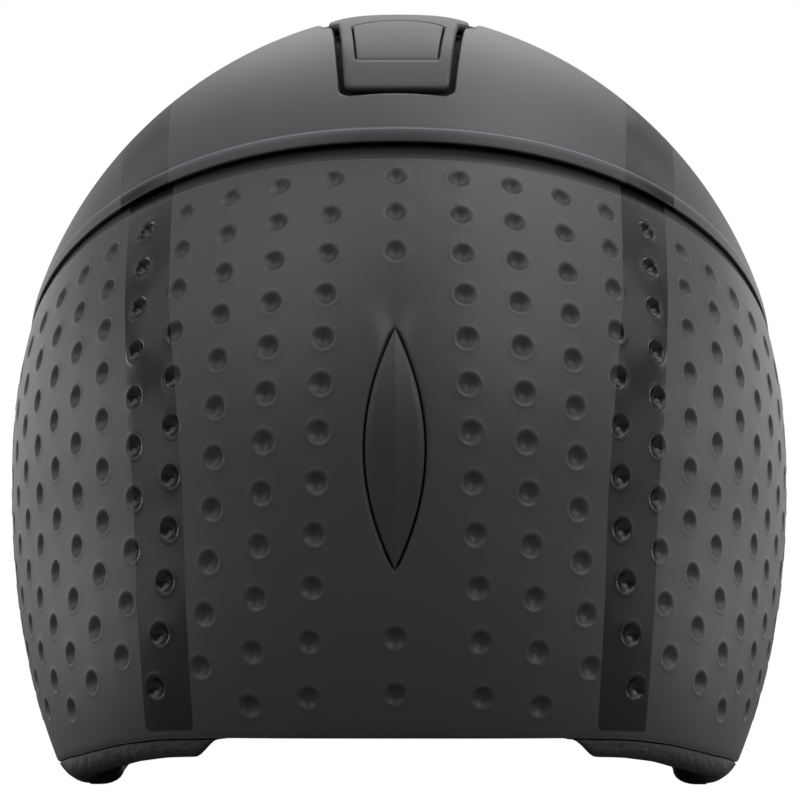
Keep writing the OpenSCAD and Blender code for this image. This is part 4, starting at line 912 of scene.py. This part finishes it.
def foam():
    """The liner: a merged copy of the solid with softened corners, and the band that shows below the rim."""
    ob = copy_of("foam_liner", "foam_liner_beads")
    p = points_of(ob)
    edge = np.interp(p[:, 1], *zip(*SOLID_RIM))
    phi = np.arctan2(p[:, 0], -p[:, 1])
    out = np.linalg.norm(skin(phi, np.maximum(p[:, 2], 1), TAIL)[:, :2], axis=1)
    rho = np.linalg.norm(p[:, :2], axis=1)
    low = (p[:, 1] < 40) & (p[:, 2] < edge + 3)
    room = out - FOAM_INSET
    p[:, :2] *= np.where(low & (rho > room), room / np.maximum(rho, 1), 1)[:, None]
    bottom = low & (p[:, 1] < -60)
    p[bottom, 2] = np.maximum(p[bottom, 2], rim(p[bottom, 1]) + 1.5)
    set_coords(ob.data, placed(p))
    applied(ob, "REMESH", mode="VOXEL", voxel_size=FOAM_VOXEL / 1000)
    applied(ob, "SMOOTH", factor=0.5, iterations=3)
    bm = bmesh.new()
    bm.from_mesh(ob.data)
    for side in (-1, 1):
        band = foam_band(side)
        bm.from_mesh(band.data)
        bpy.data.objects.remove(band)
    for f in bm.faces:
        f.smooth = True
    bm.to_mesh(ob.data)
    bm.free()
    return ob


# looks that more than one material uses
def fine_grain():
    """Fine moulded grain."""
    sizes = ("Scale", "Detail", "Roughness")
    group = Wires(bpy.data.node_groups.new("fine_grain", "ShaderNodeTree"),
                  {"Place": "Vector", **{size: "Float" for size in sizes}}, {"Height": "Float"})
    noise = group.node("ShaderNodeTexNoise", {"Vector": group.given["Place"],
                                              **{size: group.given[size] for size in sizes}})
    group.node("NodeGroupOutput", {"Height": noise.outputs["Fac"]})
    return group.tree


def cell_pattern():
    """Irregular cells, as the distance from the middle of each."""
    group = Wires(bpy.data.node_groups.new("cell_pattern", "ShaderNodeTree"),
                  {"Place": "Vector", "Scale": "Float"}, {"Distance": "Float"})
    cell = group.node("ShaderNodeTexVoronoi", {"Vector": group.given["Place"], "Scale": group.given["Scale"]})
    group.node("NodeGroupOutput", {"Distance": cell.outputs["Distance"]})
    return group.tree


GRAIN, CELLS = fine_grain(), cell_pattern()


# materials
class Look(Wires):
    """A material's node tree, written as calls."""

    def __init__(self, name):
        self.mat = bpy.data.materials.new(name)
        self.mat.use_nodes = True
        super().__init__(self.mat.node_tree)
        self.bsdf = self.tree.nodes["Principled BSDF"]

    def set(self, **values):
        for k, v in values.items():
            self.put(self.bsdf.inputs[k.replace("_", " ")], v)
        return self

    def attribute(self, name):
        return self.node("ShaderNodeAttribute", attribute_name=name).outputs["Fac"]

    def ramp(self, v, lo, hi, a=0.0, b=1.0):
        return self.node("ShaderNodeMapRange", {"Value": v, "From Min": lo, "From Max": hi, "To Min": a,
                                                "To Max": b}, interpolation_type="SMOOTHSTEP").outputs[0]

    def mix(self, f, a, b):
        return self.node("ShaderNodeMix", {0: f, 6: a, 7: b}, data_type="RGBA").outputs[2]

    def place(self):
        return self.node("ShaderNodeTexCoord").outputs["Object"]

    def grain(self, scale, detail=3.0):
        return self.node("ShaderNodeGroup", {"Place": self.place(), "Scale": scale, "Detail": detail,
                                             "Roughness": 0.6}, node_tree=GRAIN).outputs["Height"]

    def cells(self, scale):
        return self.node("ShaderNodeGroup", {"Place": self.place(), "Scale": scale},
                         node_tree=CELLS).outputs["Distance"]

    def bump(self, height, strength, distance):
        n = self.node("ShaderNodeBump", {"Height": height, "Strength": strength, "Distance": distance})
        self.put(self.bsdf.inputs["Normal"], n.outputs[0])
        return self


def grey(v, blue=1.11):
    """A grey of this value, with more or less blue in it."""
    return (v * 0.98, v, v * blue, 1)


def shell_material():
    """Satin paint with gloss stripes, a painted highlight along edges and painted shade in the gap under the
    lip.
    """
    m = Look("shell_paint")
    stripe = m.ramp(m.attribute("stripe"), -0.12, 0.12)
    edge = m.ramp(m.attribute("edge"), 0.0, 1.0)
    colour = m.mix(stripe, grey(0.052), grey(0.014))
    # painted highlight: lighter paint along the edges that the edge mark picks out
    colour = m.mix(edge, colour, grey(0.2))
    # painted shade: darker paint in the gap under the lip
    colour = m.mix(m.attribute("recess"), colour, grey(0.018, 0.98))
    m.set(Base_Color=colour, Roughness=m.ramp(stripe, 0, 1, 0.5, 0.24))
    m.set(Specular_IOR_Level=m.ramp(stripe, 0, 1, 0.5, 0.36))
    return m.bump(m.grain(900), m.math("MULTIPLY", m.math("SUBTRACT", 1.0, stripe), 0.12), 0.0001).mat


def plain(name, value, rough, bump, scale=1200, metal=0.0, blue=1.04):
    """Moulded plastic, rubber or metal of one grey with a fine grain."""
    m = Look(name).set(Base_Color=grey(value, blue), Roughness=rough, Metallic=metal)
    return m.bump(m.grain(scale), bump, 0.0002).mat


def foam_material():
    """Moulded beads: rounded cells with small bright facets."""
    m = Look("liner_foam")
    fleck = m.ramp(m.grain(1500, 2.0), 0.55, 0.75)
    m.set(Base_Color=m.mix(fleck, grey(0.026, 0.92), grey(0.085, 0.92)), Roughness=0.7)
    return m.bump(m.math("SUBTRACT", 1.0, m.cells(420)), 0.7, 0.0006).mat


def knit_material():
    """Fine wicking knit with a darker sewn line."""
    m = Look("pad_knit")
    hole = m.ramp(m.cells(900), 0.12, 0.3)
    colour = m.mix(hole, grey(0.012), grey(0.034))
    m.set(Base_Color=m.mix(m.attribute("seam"), colour, grey(0.012)), Roughness=0.92, Sheen_Weight=0.3)
    return m.bump(hole, 0.5, 0.0003).mat


def webbing_material():
    """Twill weave: two crossing sets of ribs."""
    m = Look("webbing_weave")
    across, along = (m.node("ShaderNodeTexWave", {"Vector": m.place(), "Scale": RIB_SCALE},
                            bands_direction=way).outputs["Fac"] for way in "YZ")
    weave = m.math("MULTIPLY", across, along)
    m.set(Base_Color=m.mix(weave, grey(0.008), grey(0.03)), Roughness=0.75)
    return m.bump(weave, 0.6, 0.0003).mat


def lens_material():
    """Smoked clear plastic with a hard coat."""
    m = Look("shield_tint")
    m.set(Base_Color=grey(0.10), Roughness=0.03, Transmission_Weight=0.75, IOR=1.45, Coat_Weight=0.4)
    return m.mat


MATS = {
    "shell": shell_material(),
    "insert": plain("insert_paint", 0.034, 0.48, 0.15),
    "trim": plain("trim_plastic", 0.033, 0.55, 0.35, 900, blue=1.0),
    "lid": plain("lid_plastic", 0.042, 0.55, 0.35, 900, blue=1.08),
    "inner": plain("inner_plastic", 0.03, 0.5, 0.2, 700),
    "pinion": plain("pinion_plastic", 0.5, 0.4, 0.1, 700),
    "foam": foam_material(),
    "rubber": plain("edge_rubber", 0.03, 0.6, 0.2, 1000, blue=0.94),
    "fabric": knit_material(),
    "webbing": webbing_material(),
    "steel": plain("steel", 0.55, 0.3, 0.1, 500, metal=1.0, blue=1.02),
    "lens": lens_material(),
}
SLOT = {"shell_satin": "shell", "insert_satin": "insert", "trim": "trim", "inner_plastic": "inner",
        "pinion_plastic": "pinion", "foam": "foam", "edge_rubber": "rubber", "pad_fabric": "fabric",
        "webbing": "webbing", "steel": "steel", "lens": "lens"}
# how far the sharp edges of the dressed copies are rounded, in mm
ROUNDED = {"trim": 0.3, "inner_plastic": 0.25, "edge_rubber": 0.3, "pinion_plastic": 0.08, "steel": 0.08}
BODY_OF = {n: b for b, ns in frame["record"]["behaviour"]["bodies"].items() for n in ns}
SLOT_OF = {s["node"]: s["material_slot"] for s in frame["record"]["subparts"]}


def finish_piece(ob, slot, node, mat=None):
    """Gives a piece the material of its slot and the body it moves with, and hides the solid that it stands
    for.
    """
    ob.data.materials.clear()
    ob.data.materials.append(MATS[mat or SLOT[slot]])
    if node == "chin_strap_right":
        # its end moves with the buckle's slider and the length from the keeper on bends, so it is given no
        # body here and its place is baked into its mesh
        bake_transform(ob)
    else:
        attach(ob, BODY_OF[node])
    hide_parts(node)


def stripe_distance(p, front):
    """How far inside the gloss stripe a point lies, in mm; negative outside."""
    x, y, z = np.abs(p[:, 0]), p[:, 1], p[:, 2]
    if front:
        lo = np.interp(y, *zip(*FRONT_STRIPE))
        hi = lo + FRONT_STRIPE_WIDTH
    else:
        height, inner, outer = zip(*TAIL_STRIPE)
        lo, hi = np.interp(z, height, inner), np.interp(z, height, outer)
    d = np.minimum(x - lo, hi - x)
    if not front:
        d = np.minimum(d, z - rim(y) - 2.4)
        d = np.where(y > 30, -5, d)
    return d


def no_paint(p):
    return np.zeros(len(p))


def paint(ob, front, edge, recess=no_paint):
    """Marks that the shell's paint reads: distance into the stripe, painted highlights along edges and
    painted shade in the gap under the lip.
    """
    p = points_of(ob)
    mask(ob, "stripe", stripe_distance(p, front))
    mask(ob, "edge", edge(p))
    mask(ob, "recess", recess(p))


def edge_highlight(at, wide, plan):
    """Painted highlight: a light line along an edge that lies on a sloping plane."""
    def light(p):
        off = np.abs(p[:, 2] - plane(plan)(p[:, 1]) - at)
        return np.clip(1.3 - off / wide, 0, 1) * (p[:, 1] < 60)

    return light


def build_shells():
    """The tail shell, the flange under the lip and the front shell, painted."""
    tail = tail_shell()
    top_line = edge_highlight(-0.65, 0.4, TAIL_TOP)

    # painted highlights: light lines along the tail's top edge and along its rim
    def painted_highlight_lines(p):
        off = np.abs(p[:, 2] - rim(p[:, 1]) - 0.3)
        return top_line(p) + 1.2 * np.clip(1 - off / 0.5, 0, 1) * (p[:, 1] < 40)

    paint(tail, False, painted_highlight_lines)
    finish_piece(tail, "shell_satin", "rear_shell")
    flange = tail_flange()
    foot, head = plane(TAIL_TOP), plane(LIP)

    def shade(p):
        """Painted shade, dark at the foot of the flange and in the middle of the helmet."""
        up = (p[:, 2] - foot(p[:, 1])) / (head(p[:, 1]) - foot(p[:, 1]))
        return (1 - np.clip((up - 0.3) / 0.4, 0, 1)) * (1 - np.clip((np.abs(p[:, 0]) - 55) / 45, 0, 1))

    # painted shade: the flange's paint is darker at its foot and across the middle of the helmet
    paint(flange, False, no_paint, shade)
    finish_piece(flange, "shell_satin", "rear_shell")
    front = front_shell()
    # painted highlight along the top edge of the lip's chamfer
    paint(front, True, edge_highlight(-0.1, 0.45, CHAMFER))
    finish_piece(front, "shell_satin", "front_shell")


def build_port():
    """The port's frame and its lid."""
    bezel = plate("port_bezel", PORT_LOOP, [grown(DOOR_LOOP, LID_GAP)], bezel_lift, PORT_DEEP, PORT_EDGE)
    finish_piece(bezel, "trim", "port_frame")
    # the lid's rear edge runs on over its hinge barrel
    rear = DOOR_LOOP[:, 1:] < DOOR_LOOP[:, 1].min() + 0.9
    door = plate("port_lid", DOOR_LOOP - np.where(rear, (0, LID_RUN_ON), 0), [], lid_lift, LID_DEEP, LID_EDGE)
    finish_piece(door, "trim", "port_door", "lid")


def build_fittings():
    """The insert, the pads, the foam and the ear edges, and dressed copies of all other solids."""
    finish_piece(insert_piece(), "insert_satin", "tail_insert")
    for node, ob in soft_pads().items():
        finish_piece(ob, "pad_fabric", node)
    finish_piece(foam(), "foam", "foam_liner")
    for side, node in ((-1, "ear_edge_left"), (1, "ear_edge_right")):
        finish_piece(ear_edge(side), "edge_rubber", node)
    for name, ob in NODES.items():
        slot = SLOT_OF[name]
        ob.data.materials.clear()
        ob.data.materials.append(MATS[SLOT[slot]])
        if not ob.hide_render:
            finish_piece(copy_of(name, name + "_dressed", ROUNDED.get(slot, 0.0)), slot, name)


build_shells()
build_port()
build_fittings()


# stage, light and camera
WHITE = (1, 1, 1, 1)
# the floor's half width and its depth below the helmet in metres
FLOOR_HALF, FLOOR_DROP, FLOOR_GREY = 6.0, 0.0005, (0.25, 0.25, 0.25, 1)
# light of the room, on the camera's side and at the backdrop
ROOM_DIM, ROOM_BRIGHT = 0.03, 0.25
# studio lamps round the helmet: elevation and azimuth in degrees, and strength
LAMPS = [(65, -120, 0.08), (65, -60, 0.58), (65, 0, 0.04), (65, 60, 0.38), (65, 120, 0.70),
         (35, -135, 0.09), (35, -90, 0.31), (35, -45, 0.54), (35, 45, 0.90), (35, 90, 0.40),
         (35, 135, 0.11), (35, 180, 0.72), (5, -150, 0.23), (5, -115, 0.40), (5, -80, 0.15),
         (5, 80, 0.11), (5, 115, 0.37), (5, 150, 0.24)]
# the lamps' distance and aim in metres and their power; those at the low elevation all stand at one height
LAMP_REACH, LAMP_AIM, LAMP_WATTS, LOW_LAMP, LOW_LAMP_Z = 1.8, 0.11, 10, 5, 0.27
# width of the picture and focal length in pixels, and width of the sensor in mm
PICTURE, FOCAL_PIXELS, SENSOR = 800, 5893, 36
# the camera's distance, sideways shift and height in metres, and its turn
EYE_REACH, EYE_SIDE, EYE_Z, YAW = 1.7, 0.000144, 0.108, math.radians(0.45)


def build_floor():
    mesh = bpy.data.meshes.new("floor")
    s, z = FLOOR_HALF, -FLOOR_DROP
    mesh.from_pydata([(-s, -s, z), (s, -s, z), (s, s, z), (-s, s, z)], [], [(0, 1, 2, 3)])
    floor = linked(bpy.data.objects.new("floor", mesh))
    look = Look("floor_pale").set(Base_Color=FLOOR_GREY, Roughness=0.9)
    seen = look.node("ShaderNodeLightPath").outputs["Is Camera Ray"]
    glow = look.node("ShaderNodeEmission", {"Strength": 1.0}).outputs[0]
    mixer = look.node("ShaderNodeMixShader", {0: seen, 1: look.bsdf.outputs[0], 2: glow})
    look.put(look.tree.nodes["Material Output"].inputs[0], mixer.outputs[0])
    mesh.materials.append(look.mat)


def build_room():
    world = bpy.data.worlds.new("studio")
    bpy.context.scene.world = world
    world.use_nodes = True
    sky = Wires(world.node_tree)
    room = sky.tree.nodes["Background"]
    # the pale backdrop behind the helmet is brighter than the rest of the room
    way = sky.node("ShaderNodeTexCoord").outputs["Generated"]
    deep = sky.node("ShaderNodeSeparateXYZ", {0: way}).outputs["Y"]
    fade = sky.node("ShaderNodeMapRange", {"Value": deep, "From Min": 0.0, "From Max": 1.0,
                                           "To Min": ROOM_DIM, "To Max": ROOM_BRIGHT})
    sky.put(room.inputs["Color"], WHITE)
    sky.put(room.inputs["Strength"], fade.outputs[0])
    white = sky.node("ShaderNodeBackground", {"Color": WHITE, "Strength": 1.0}).outputs[0]
    seen = sky.node("ShaderNodeLightPath").outputs["Is Camera Ray"]
    mixer = sky.node("ShaderNodeMixShader", {0: seen, 1: room.outputs[0], 2: white})
    sky.put(sky.tree.nodes["World Output"].inputs[0], mixer.outputs[0])


def build_lamps():
    for high, turn, share in LAMPS:
        light = bpy.data.lights.new("lamp_%d_%d" % (high, turn % 360), "AREA")
        light.shape = "RECTANGLE"
        light.size, light.size_y = (0.9, 0.5) if high == LOW_LAMP else (1, 1)
        light.energy = LAMP_WATTS * share
        e, a = math.radians(high), math.radians(turn)
        out = LAMP_REACH * math.cos(e)
        z = LOW_LAMP_Z if high == LOW_LAMP else LAMP_AIM + LAMP_REACH * math.sin(e)
        lamp = linked(bpy.data.objects.new(light.name, light))
        lamp.location = (out * math.sin(a), -out * math.cos(a), z)
        lamp.rotation_euler = (Vector((0, 0, LAMP_AIM)) - lamp.location).to_track_quat("-Z", "Y").to_euler()


def build_camera():
    camera = bpy.data.cameras.new("camera")
    camera.lens = SENSOR * FOCAL_PIXELS / PICTURE
    camera.sensor_width = SENSOR
    camera.clip_end = 50
    eye = linked(bpy.data.objects.new("camera", camera))
    eye.location = (EYE_SIDE + EYE_REACH * math.sin(YAW), MIDDLE_Y / 1000 - EYE_REACH * math.cos(YAW), EYE_Z)
    eye.rotation_euler = (math.pi / 2, 0, YAW)
    bpy.context.scene.camera = eye


build_floor()
build_room()
build_lamps()
build_camera()
bpy.context.scene.view_settings.view_transform = "Standard"
